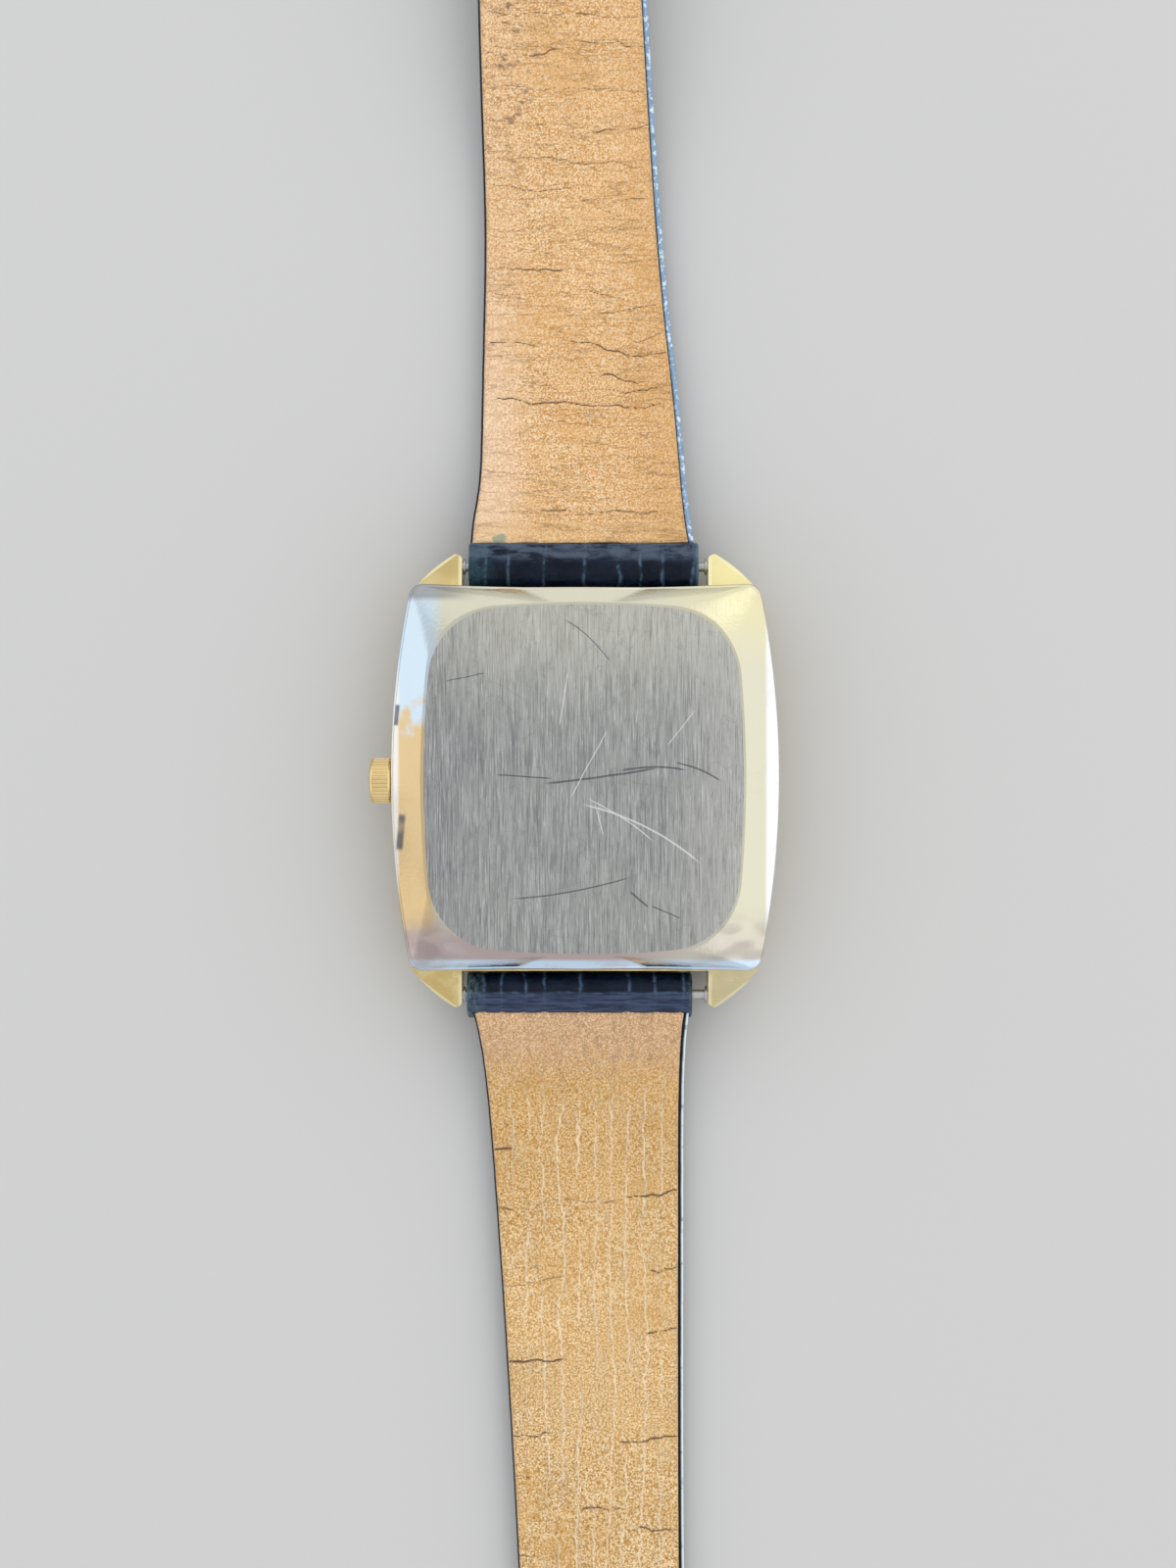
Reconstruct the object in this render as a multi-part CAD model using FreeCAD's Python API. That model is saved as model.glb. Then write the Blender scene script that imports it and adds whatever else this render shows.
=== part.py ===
import FreeCAD, Part
import math
import os

# A gents' wristwatch with a hand-wound movement and a lined leather strap, lying face down.
# Millimetres. +Z is the case back's outward side, +Y runs along the 12 o'clock strap and
# the crown is on the -X side. The origin is the centre of the crystal's flat outer face.

# ---------------------------------------------------------------- driving dimensions
CASE_HALF_WIDTH = 16.6         # gold case at its widest, half way up
CASE_HALF_HEIGHT = 16.35       # from the centre to the case's end walls
CASE_CORNER_X = 14.8
CASE_FRONT_Z = 0.5
CASE_TOP_Z = 5.9               # seam between the gold case and the steel back
LUG_INNER_X = 10.6
LUG_TIP_Y = 19.5
LUG_TIP_X = 11.3
LUG_SLOPE_Y = 16.8              # the lugs slope down towards their tips from here

BACK_HALF_WIDTH = 16.6
BACK_HALF_HEIGHT = 16.6
BACK_CENTRE_Y = 0.3             # the back reaches further over the 12 o'clock loop
BACK_SIDE_SAG = 1.75
BACK_CORNER_R = 1.3
BACK_RIM_Z = 6.6
BACK_SHOULDER = 0.45
BACK_SHOULDER_RISE = 0.42
BACK_DOME_Z = 7.86
BACK_PLATEAU_Z = 8.0
PLATEAU_HALF_WIDTH = 13.85
PLATEAU_HALF_HEIGHT = 15.1
PLATEAU_CENTRE = (-0.12, 0.12)
PLATEAU_SIDE_SAG = 1.0
PLATEAU_CORNER_R = 6.5
BACK_LIP = 0.7                 # wall of the lip that presses into the case
LIP_GAP = 0.05
BACK_INSIDE_Z = 7.0

CRYSTAL_HALF_WIDTH = 12.2
CRYSTAL_HALF_HEIGHT = 13.2
CRYSTAL_CORNER_R = 5.0
CRYSTAL_THICKNESS = 1.6
GASKET_WALL = 0.35
CRYSTAL_LEDGE = 0.5

CAVITY_HALF_WIDTH = 13.6       # room for the movement and its holder
CAVITY_HALF_HEIGHT = 14.2
CAVITY_CORNER_R = 6.0
CAVITY_FLOOR_Z = 3.1
HOLDER_TOP_Z = 4.9

STEM_Z = 5.1
CROWN_RADIUS = 1.95
CROWN_INNER_X = -16.65
CROWN_OUTER_X = -18.5
CROWN_RIBS = 36
CROWN_TUBE_R = 0.75
CROWN_TUBE_BORE_R = 0.55
CROWN_BORE_R = 1.02

BAR_Y = 18.5                   # spring bars, either side of the case
BAR_Z = 4.5
BAR_TUBE_R = 0.9
BAR_HALF_LENGTH = 9.15
BAR_END_WALL = 0.3
BAR_BORE_R = 0.72
BAR_TIP_R = 0.42
BAR_HOLE_R = 0.47
BAR_HOLE_X = 11.9               # how far out the blind holes in the lugs reach
BAR_TIP_X = 11.7
BAR_SHOULDER_X = 10.35          # collar that a strap tool catches

LOOP_INNER_R = 1.0
LOOP_OUTER_R = 2.0
STRAP_END_HALF_WIDTH = 7.0
STRAP_TAPER_U = 74.0
OUTER_SKIN = 0.9               # navy outer leather
LINING_SKIN = 0.8              # tan lining
STRAP_DROP_DEG = 14.0          # slope where the strap leaves the bar
STRAP_FLAT_U = 14.7            # from here on the strap lies flat
LEAN_12 = -0.040               # sideways set of each strap half, per mm of length
LEAN_6 = 0.028
STRAP_6_TIP_U = 112.0
HOLE_COUNT = 7
HOLE_FIRST_U = 56.0
HOLE_PITCH = 6.5
HOLE_R = 0.8
BUCKLE_BAR_U = 74.0
STRAP_RISE_START_U = 30.0       # the 12 o'clock half climbs over its keepers between these
STRAP_RISE_END_U = 52.0
LINING_START_12_U = 2.0
LINING_START_6_U = 1.4
LINING_INSET = 0.35            # the outer leather shows past the lining along both edges
LINING_SHIFT = -0.12
CORE_INSET = 0.45
WRAP_SKIN = 0.7                # outer leather turned over the bar and tucked under the lining
GLUE_GAP = 0.015
TIP_LENGTH = 7.0               # pointed end of the 6 o'clock half
ROLL_R = 1.5                   # leather rolled round the buckle bar
ROLL_BORE_R = 0.78
TONGUE_SLOT_HALF = 1.45

KEEPER_GAP = 2.4
KEEPER_WALL = 0.8
FLOATING_KEEPER_U = (57.0, 61.0)
FIXED_KEEPER_U = (66.0, 70.0)
BUCKLE_BAR_Z = 4.3
BUCKLE_BAR_R = 0.7
BUCKLE_DROOP_DEG = 13.0
BUCKLE_HALF_WIDTH = 9.0
BUCKLE_WALL = 1.5
BUCKLE_REACH = 11.3

DIAL_Z = 3.1
DIAL_THICKNESS = 0.4
PLATE_R = 12.8
PLATE_Z = 4.0
PLATE_TOP_Z = 4.8
BRIDGE_Z = 6.0
BRIDGE_TOP_Z = 6.4
PIVOT_R = 0.1
JEWEL_R = 0.6
JEWEL_HOLE_R = 0.13

# places of the movement's axes, seen from the back
BARREL = (-2.61, 5.59)
CENTRE = (0.0, 0.0)
THIRD = (4.48, -0.39)
FOURTH = (6.94, 2.54)
ESCAPE = (8.23, -0.50)
PALLET = (7.10, -2.79)
BALANCE = (5.65, -5.73)
CROWN_WHEEL = (-6.5, 0.0)
MINUTE = (-2.05, -1.25)
STEM_SLOT = (-13.0, -7.2, -1.45, 1.45)
PIVOTS = (THIRD, FOURTH, ESCAPE, PALLET, BALANCE)
SETTING_PIVOT = (-11.3, 3.0)
YOKE_PIVOT = (-8.3, -5.2)
CLICK = (-8.9, 6.2)

# screws: distance from the centre, bearing in degrees, height of the seat, head radius
PLATE_SCREWS = (
    (12.0, 70, BRIDGE_TOP_Z, 0.7),
    (12.0, 108, BRIDGE_TOP_Z, 0.7),
    (12.0, 148, BRIDGE_TOP_Z, 0.7),
    (11.5, 36, BRIDGE_TOP_Z, 0.7),
    (11.5, 2, BRIDGE_TOP_Z, 0.7),
    (10.8, -100, 6.55, 0.7),
    (11.413, -24.32, 5.52, 0.5),
    (11.9, -65, 5.1, 0.6),
    (11.9, -135, 5.1, 0.6))

PARTS = {}


# ---------------------------------------------------------------- shape helpers
def vec(x, y, z=0.0):
    return FreeCAD.Vector(x, y, z)


def polar(radius, degrees, centre=(0.0, 0.0)):
    angle = math.radians(degrees)
    return (centre[0] + radius * math.cos(angle), centre[1] + radius * math.sin(angle))


def box(x0, x1, y0, y1, z0, z1):
    return Part.makeBox(x1 - x0, y1 - y0, z1 - z0, vec(x0, y0, z0))


def disc(centre, radius, z0, z1):
    return Part.makeCylinder(radius, z1 - z0, vec(centre[0], centre[1], z0))


def ring(centre, outer, inner, z0, z1):
    return disc(centre, outer, z0, z1).cut(disc(centre, inner, z0 - 1, z1 + 1))


def rod_x(x0, x1, y, z, radius):
    return Part.makeCylinder(radius, x1 - x0, vec(x0, y, z), vec(1, 0, 0))


def line(a, b):
    return Part.makeLine(a, b)


def arc(a, middle, b):
    return Part.Arc(a, middle, b).toShape()


def prism(edges, z0, z1):
    """A flat outline drawn at any height, raised from z0 to z1."""
    face = Part.Face(Part.Wire(edges))
    face.translate(vec(0, 0, z0 - face.BoundBox.ZMin))
    return face.extrude(vec(0, 0, z1 - z0))


def polygon(points, z0, z1):
    corners = [vec(x, y, z0) for x, y in points]
    face = Part.Face(Part.makePolygon(corners + corners[:1]))
    return face.extrude(vec(0, 0, z1 - z0))


def join(shapes):
    whole = shapes[0]
    for shape in shapes[1:]:
        whole = whole.fuse(shape)
    return whole.removeSplitter()


def sector(inner, outer, start, end, z0, z1):
    """Part of a ring about the movement's centre, from one angle to another in degrees."""
    turn = Part.makeCylinder(outer, z1 - z0, vec(0, 0, z0), vec(0, 0, 1), end - start)
    turn.rotate(vec(0, 0, 0), vec(0, 0, 1), start)
    return turn.cut(disc((0, 0), inner, z0 - 1, z1 + 1))


def cushion(half_w, half_h, side_sag, top_sag, bottom_sag, corner_r, z0, z1):
    """A cushion-shaped block: bowed sides, ends bowed out (or in, when negative), round corners."""
    x = half_w - side_sag
    top = half_h - max(top_sag, 0.0)
    bottom = -half_h + max(bottom_sag, 0.0)
    edges = [
        arc(vec(x, bottom), vec(half_w, 0), vec(x, top)),
        arc(vec(x, top), vec(0, top + top_sag), vec(-x, top)),
        arc(vec(-x, top), vec(-half_w, 0), vec(-x, bottom)),
        arc(vec(-x, bottom), vec(0, bottom - bottom_sag), vec(x, bottom)),
    ]
    block = prism(edges, z0, z1)
    upright = [e for e in block.Edges if abs(e.Vertexes[0].Z - e.Vertexes[-1].Z) > 0.5 * (z1 - z0)]
    return block.makeFillet(corner_r, upright)


def cushion_wire(half_w, half_h, side_sag, top_sag, bottom_sag, corner_r, z):
    block = cushion(half_w, half_h, side_sag, top_sag, bottom_sag, corner_r, z, z + 1)
    return min(block.Faces, key=lambda face: face.CenterOfMass.z).OuterWire


def keep(name, shape):
    solids = shape.Solids
    PARTS[name] = solids[0] if len(solids) == 1 else Part.makeCompound(solids)


# ---------------------------------------------------------------- case
def case_plan():
    """Plan outline of the gold case: bowed sides that run out into four lugs."""
    x = CASE_CORNER_X
    y = CASE_HALF_HEIGHT
    edges = []
    for side in (1, -1):
        edges.append(arc(vec(side * x, -side * y), vec(side * CASE_HALF_WIDTH, 0), vec(side * x, side * y)))
        for end in (1, -1):
            s = side * end
            corner = vec(s * x, side * y)
            shoulder = vec(s * LUG_TIP_X, side * LUG_TIP_Y)
            bulge = vec(s * (x + LUG_TIP_X + 0.35) / 2, side * (y + LUG_TIP_Y + 0.3) / 2)
            tip = vec(s * LUG_INNER_X, side * (LUG_TIP_Y - 0.5))
            round_tip = vec(s * (LUG_INNER_X + 0.18), side * (LUG_TIP_Y - 0.1))
            edges.append(arc(corner, bulge, shoulder))
            edges.append(arc(shoulder, round_tip, tip))
            edges.append(line(tip, vec(s * LUG_INNER_X, side * y)))
        edges.append(line(vec(LUG_INNER_X, side * y), vec(-LUG_INNER_X, side * y)))
    return Part.__sortEdges__(edges)


def make_case():
    body = prism(case_plan(), CASE_FRONT_Z, CASE_TOP_Z)
    side_profile = Part.makePolygon([
        vec(-30, -14.6, CASE_FRONT_Z), vec(-30, 14.6, CASE_FRONT_Z), vec(-30, 16.9, 1.5),
        vec(-30, LUG_TIP_Y + 0.1, 3.2), vec(-30, LUG_TIP_Y + 0.1, 5.2), vec(-30, LUG_SLOPE_Y, CASE_TOP_Z),
        vec(-30, -LUG_SLOPE_Y, CASE_TOP_Z), vec(-30, -LUG_TIP_Y - 0.1, 5.2), vec(-30, -LUG_TIP_Y - 0.1, 3.2),
        vec(-30, -16.9, 1.5), vec(-30, -14.6, CASE_FRONT_Z)])
    body = body.common(Part.Face(side_profile).extrude(vec(60, 0, 0)))
    end_profile = Part.makePolygon([
        vec(-14.2, -30, CASE_FRONT_Z), vec(14.2, -30, CASE_FRONT_Z), vec(17.0, -30, 2.8),
        vec(17.0, -30, CASE_TOP_Z), vec(-17.0, -30, CASE_TOP_Z), vec(-17.0, -30, 2.8),
        vec(-14.2, -30, CASE_FRONT_Z)])
    body = body.common(Part.Face(end_profile).extrude(vec(0, 60, 0)))
    body = body.cut(crystal_block(GASKET_WALL, CASE_FRONT_Z - 1, CRYSTAL_THICKNESS))
    body = body.cut(crystal_block(-CRYSTAL_LEDGE, CASE_FRONT_Z, CAVITY_FLOOR_Z + 1))
    body = body.cut(cavity(CAVITY_FLOOR_Z, CASE_TOP_Z + 1))
    body = body.cut(rod_x(-20, -CAVITY_HALF_WIDTH + 1, 0, STEM_Z, CROWN_TUBE_R))
    for x in (-1, 1):
        for y in (-BAR_Y, BAR_Y):
            near, far = sorted((x * LUG_INNER_X, x * BAR_HOLE_X))
            body = body.cut(rod_x(near, far, y, BAR_Z, BAR_HOLE_R))
    keep("case_body", body)


def crystal_block(grow, z0, z1):
    """The crystal's outline, grown all round."""
    return cushion(CRYSTAL_HALF_WIDTH + grow, CRYSTAL_HALF_HEIGHT + grow, 0.9, 0.5, 0.5,
                   CRYSTAL_CORNER_R + grow, z0, z1)


def cavity(z0, z1, inset=0.0):
    """The room inside the case, or a block that fits it with a gap all round."""
    return cushion(CAVITY_HALF_WIDTH - inset, CAVITY_HALF_HEIGHT - inset, 0.9, 0.5, 0.5,
                   CAVITY_CORNER_R - inset, z0, z1)


def make_back():
    """The pressed steel back: rim, rounded shoulder, shallow dome and a raised flat middle."""
    def outline(inset, z):
        wire = cushion_wire(BACK_HALF_WIDTH - inset, BACK_HALF_HEIGHT - inset, BACK_SIDE_SAG, -0.35, -0.2,
                            BACK_CORNER_R, z)
        return wire.translated(vec(0, BACK_CENTRE_Y))

    shoulder_z = BACK_RIM_Z + BACK_SHOULDER_RISE
    rim = cushion(BACK_HALF_WIDTH, BACK_HALF_HEIGHT, BACK_SIDE_SAG, -0.35, -0.2, BACK_CORNER_R,
                  CASE_TOP_Z, BACK_RIM_Z).translated(vec(0, BACK_CENTRE_Y))
    shoulder = Part.makeLoft([outline(0.0, BACK_RIM_Z), outline(BACK_SHOULDER, shoulder_z)], True, True)
    foot = cushion_wire(PLATEAU_HALF_WIDTH + 0.1, PLATEAU_HALF_HEIGHT + 0.1, PLATEAU_SIDE_SAG, 0.9, 0.9,
                        PLATEAU_CORNER_R, BACK_DOME_Z).translated(vec(*PLATEAU_CENTRE))
    dome = Part.makeLoft([outline(BACK_SHOULDER, shoulder_z), foot], True, True)
    plateau = cushion(PLATEAU_HALF_WIDTH, PLATEAU_HALF_HEIGHT, PLATEAU_SIDE_SAG, 0.9, 0.9,
                      PLATEAU_CORNER_R, BACK_DOME_Z, BACK_PLATEAU_Z).translated(vec(*PLATEAU_CENTRE))
    lip = cavity(HOLDER_TOP_Z + LIP_GAP, CASE_TOP_Z, LIP_GAP)
    back = join([rim, shoulder, dome, plateau, lip])
    back = back.cut(cavity(HOLDER_TOP_Z, BACK_INSIDE_Z, LIP_GAP + BACK_LIP))
    back = back.cut(seal_band())
    back = back.cut(rod_x(-15, -11, 0, STEM_Z, 1.5))
    keep("case_back", back)
    keep("case_back_gasket", seal_band().cut(rod_x(-15, -11, 0, STEM_Z, 1.5)))


def seal_band():
    """The groove round the back's lip, which its gasket fills."""
    return cavity(5.3, 5.7, LIP_GAP).cut(cavity(5.2, 5.8, 0.4))


def make_crystal():
    crystal = crystal_block(0.0, 0.0, CRYSTAL_THICKNESS)
    front = [e for e in crystal.Edges if e.BoundBox.ZMax < 0.01]
    keep("crystal", crystal.makeChamfer(0.35, front))
    gasket = crystal_block(GASKET_WALL, 0.6, CRYSTAL_THICKNESS)
    keep("crystal_gasket", gasket.cut(crystal_block(0.0, 0.5, 2.0)))
    dial = cavity(DIAL_Z, DIAL_Z + DIAL_THICKNESS, 0.1).cut(disc((0, 0), 0.95, 3, 4))
    keep("dial", dial)
    markers = []
    for hour in range(12):
        angle = math.radians(30 * hour)
        reach = 1.0 / max(abs(math.sin(angle)) / 11.0, abs(math.cos(angle)) / 12.0) * 0.97
        width = 0.75 if hour % 3 == 0 else 0.45
        bar = box(-width / 2, width / 2, reach - 2.6, reach - 0.5, DIAL_Z - 0.25, DIAL_Z)
        bar.rotate(vec(0, 0, 0), vec(0, 0, 1), 30 * hour)
        markers.append(bar)
    keep("hour_markers", Part.makeCompound(markers))


def make_crown():
    body = rod_x(CROWN_OUTER_X, CROWN_INNER_X, 0, STEM_Z, CROWN_RADIUS)
    rims = [e for e in body.Edges if abs(e.BoundBox.XLength) < 0.01]
    body = body.makeFillet(0.3, rims)
    for rib in range(CROWN_RIBS):
        angle = 2 * math.pi * rib / CROWN_RIBS
        y = (CROWN_RADIUS + 0.05) * math.cos(angle)
        z = STEM_Z + (CROWN_RADIUS + 0.05) * math.sin(angle)
        body = body.cut(rod_x(CROWN_OUTER_X + 0.3, CROWN_INNER_X - 0.2, y, z, 0.13))
    body = body.cut(rod_x(CROWN_INNER_X - 1.0, CROWN_INNER_X + 1, 0, STEM_Z, CROWN_BORE_R))
    body = body.cut(rod_x(CROWN_INNER_X - 1.4, CROWN_INNER_X, 0, STEM_Z, 0.45))
    keep("crown", body)
    tube = rod_x(-17.3, -14.8, 0, STEM_Z, CROWN_TUBE_R).cut(rod_x(-18, -14, 0, STEM_Z, CROWN_TUBE_BORE_R))
    keep("crown_tube", tube)
    gasket = rod_x(-17.55, -16.9, 0, STEM_Z, CROWN_BORE_R - 0.02)
    gasket = gasket.cut(rod_x(-18, -16, 0, STEM_Z, CROWN_TUBE_R + 0.03))
    keep("crown_gasket", gasket)
    stem = join([rod_x(-18.0, -16.2, 0, STEM_Z, 0.45),
                 rod_x(-16.2, -14.0, 0, STEM_Z, CROWN_TUBE_BORE_R - 0.05),
                 rod_x(-14.0, -11.9, 0, STEM_Z, 0.4), rod_x(-11.9, -11.4, 0, STEM_Z, 0.25),
                 rod_x(-11.4, -8.6, 0, STEM_Z, 0.4), rod_x(-8.6, -7.3, 0, STEM_Z, 0.25)])
    keep("stem", stem)
    winding = rod_x(-10.2, -9.1, 0, STEM_Z, 1.25).cut(rod_x(-11, -9, 0, STEM_Z, 0.45))
    keep("winding_pinion", winding)
    sliding = join([rod_x(-9.0, -8.7, 0, STEM_Z, 1.05), rod_x(-8.7, -8.3, 0, STEM_Z, 0.7),
                    rod_x(-8.3, -7.9, 0, STEM_Z, 1.05)])
    keep("sliding_pinion", sliding.cut(rod_x(-9.5, -7.5, 0, STEM_Z, 0.45)))


# ---------------------------------------------------------------- movement
def gear(centre, teeth, pitch_r, z0, z1, phase, hole_r, spokes=0):
    """A toothed disc with straight-sided teeth and, on the thin wheels, crossings between its spokes."""
    module = 2 * pitch_r / teeth
    points = []
    for tooth in range(teeth):
        middle = phase + 360.0 * tooth / teeth
        pitch = 360.0 / teeth
        for radius, offset in ((-1.15, -0.32), (0.85, -0.12), (0.85, 0.12), (-1.15, 0.32)):
            points.append(polar(pitch_r + radius * module, middle + offset * pitch, centre))
    wheel = polygon(points, z0, z1)
    if spokes:
        inner = pitch_r * 0.30
        outer = pitch_r * 0.82
        for arm in range(spokes):
            first = 360 * arm / spokes + 12
            last = 360 * (arm + 1) / spokes - 12
            window = sector(inner, outer, first, last, z0 - 1, z1 + 1)
            wheel = wheel.cut(window.translated(vec(centre[0], centre[1])))
    if hole_r:
        wheel = wheel.cut(disc(centre, hole_r, z0 - 1, z1 + 1))
    return wheel


def mesh_phase(phase, teeth, other_teeth, centre, other_centre):
    """Angle of a tooth on the second gear that fits a gap of the first."""
    towards = math.degrees(math.atan2(other_centre[1] - centre[1], other_centre[0] - centre[0]))
    return towards + 180 + 180.0 / other_teeth - (phase - towards) * teeth / other_teeth


def arbor(centre, z_low, z_body_low, z_body_high, z_high, radius):
    return [disc(centre, PIVOT_R, z_low, z_high), disc(centre, radius, z_body_low, z_body_high)]


def make_train():
    barrel_phase = 0.0
    centre_pinion = mesh_phase(barrel_phase, 78, 12, BARREL, CENTRE)
    third_pinion = mesh_phase(0.0, 80, 10, CENTRE, THIRD)
    fourth_pinion = mesh_phase(0.0, 75, 10, THIRD, FOURTH)
    escape_pinion = mesh_phase(0.0, 80, 8, FOURTH, ESCAPE)
    teeth_ring = gear(BARREL, 78, 5.35, 4.9, 5.2, barrel_phase, 0)
    drum = teeth_ring.fuse(disc(BARREL, 5.0, 4.9, 5.7)).cut(disc(BARREL, 4.7, 5.1, 5.6))
    keep("barrel_drum", drum.cut(disc(BARREL, 0.85, 4, 6)))
    keep("mainspring", spiral(BARREL, 1.1, 4.55, 6, 0.12, 5.12, 5.58))
    barrel_arbor = join([disc(BARREL, 0.8, 4.85, 6.42), disc(BARREL, 0.98, 5.12, 5.58),
                         disc(BARREL, 0.5, 4.3, 4.85)])
    keep("barrel_arbor", barrel_arbor)
    keep("centre_wheel", join([gear(CENTRE, 12, 0.823, 4.88, 5.5, centre_pinion, 0),
                               gear(CENTRE, 80, 4.0, 5.78, 5.93, 0.0, 0, 5),
                               disc(CENTRE, 0.5, 5.5, 5.96), disc(CENTRE, 0.3, 1.95, 4.88),
                               disc(CENTRE, 0.25, 5.96, 6.35)]))
    keep("third_wheel", join([gear(THIRD, 10, 0.5, 5.6, 5.96, third_pinion, 0),
                              gear(THIRD, 75, 3.375, 5.0, 5.12, 0.0, 0, 4)]
                             + arbor(THIRD, 4.3, 4.85, 5.9, 6.3, 0.25)))
    keep("fourth_wheel", join([gear(FOURTH, 10, 0.45, 4.9, 5.25, fourth_pinion, 0),
                               gear(FOURTH, 80, 3.0, 5.48, 5.58, 0.0, 0, 4)]
                              + arbor(FOURTH, 4.3, 4.85, 5.9, 6.3, 0.22)))
    points = []
    for tooth in range(15):
        for radius, offset in ((1.7, 0.0), (2.2, 8.0), (2.2, 10.0), (1.75, 12.0)):
            points.append(polar(radius, 24 * tooth + offset, ESCAPE))
    crossing = ring(ESCAPE, 1.4, 0.6, 5, 6).cut(polygon([(x + ESCAPE[0], y + ESCAPE[1]) for x, y in (
        (-3, -0.1), (3, -0.1), (3, 0.1), (-3, 0.1))], 5, 6))
    keep("escape_wheel", join([polygon(points, 5.25, 5.37).cut(crossing),
                               gear(ESCAPE, 8, 0.3, 5.42, 5.66, escape_pinion, 0)]
                              + arbor(ESCAPE, 4.3, 4.85, 5.9, 6.3, 0.18)))


def spiral(centre, inner, outer, turns, thickness, z0, z1):
    """A flat coil spring: half-turn arcs about two centres, each wider than the last."""
    step = (outer - inner) / (2 * turns)
    sides = []
    for offset in (thickness / 2, -thickness / 2):
        side = []
        for half in range(2 * turns):
            up = 1 if half % 2 == 0 else -1
            x = centre[0] if up == 1 else centre[0] + step
            wall = inner + half * step + offset
            side.append(arc(vec(x + up * wall, centre[1]), vec(x, centre[1] + up * wall),
                            vec(x - up * wall, centre[1])))
        sides.append(side)
    ends = [line(sides[0][0].Vertexes[0].Point, sides[1][0].Vertexes[0].Point),
            line(sides[0][-1].Vertexes[-1].Point, sides[1][-1].Vertexes[-1].Point)]
    return prism(Part.__sortEdges__(sides[0] + sides[1] + ends), z0, z1)


def bar_between(a, b, width, z0, z1):
    length = math.hypot(b[0] - a[0], b[1] - a[1])
    bar = box(0, length, -width / 2, width / 2, z0, z1)
    bar.rotate(vec(0, 0, 0), vec(0, 0, 1), math.degrees(math.atan2(b[1] - a[1], b[0] - a[0])))
    return bar.translated(vec(a[0], a[1]))


def make_escapement():
    to_pallet = math.degrees(math.atan2(PALLET[1] - ESCAPE[1], PALLET[0] - ESCAPE[0]))
    to_balance = math.degrees(math.atan2(BALANCE[1] - PALLET[1], BALANCE[0] - PALLET[0]))
    arms = [disc(PALLET, 0.34, 5.25, 5.37)]
    for side in (-1, 1):
        stone = polar(2.42, to_pallet + side * 33, ESCAPE)
        arms.append(bar_between(PALLET, stone, 0.3, 5.25, 5.37))
    arms.append(bar_between(PALLET, polar(2.62, to_balance, PALLET), 0.36, 5.25, 5.37))
    fork = join(arms + arbor(PALLET, 4.3, 4.85, 5.40, 5.55, 0.16))
    keep("pallet_fork", fork.cut(disc(polar(2.72, to_balance, PALLET), 0.17, 5, 6)))
    rim = ring(BALANCE, 3.8, 3.45, 5.62, 5.85)
    arms = box(-3.5, 3.5, -0.2, 0.2, 5.66, 5.80).translated(vec(BALANCE[0], BALANCE[1]))
    pin = disc(polar(0.6, to_balance + 180, BALANCE), 0.09, 5.25, 5.45)
    keep("balance_wheel", join([rim, arms, pin, disc(BALANCE, 0.8, 5.42, 5.5),
                                disc(BALANCE, 0.3, 4.95, 6.08),
                                disc(BALANCE, PIVOT_R, 4.3, 6.6)]))
    coil = spiral(BALANCE, 0.53, 2.3, 9, 0.06, 5.92, 6.03)
    keep("hairspring", ring(BALANCE, 0.55, 0.32, 5.9, 6.05).fuse(coil))


def screw(place, seat_z, head_r):
    shank = disc(place, 0.35, PLATE_Z + 0.1, seat_z)
    slot = box(place[0] - 2, place[0] + 2, place[1] - 0.08, place[1] + 0.08, seat_z + 0.13, seat_z + 1)
    return shank.fuse(disc(place, head_r, seat_z, seat_z + 0.27)).cut(slot)


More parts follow.
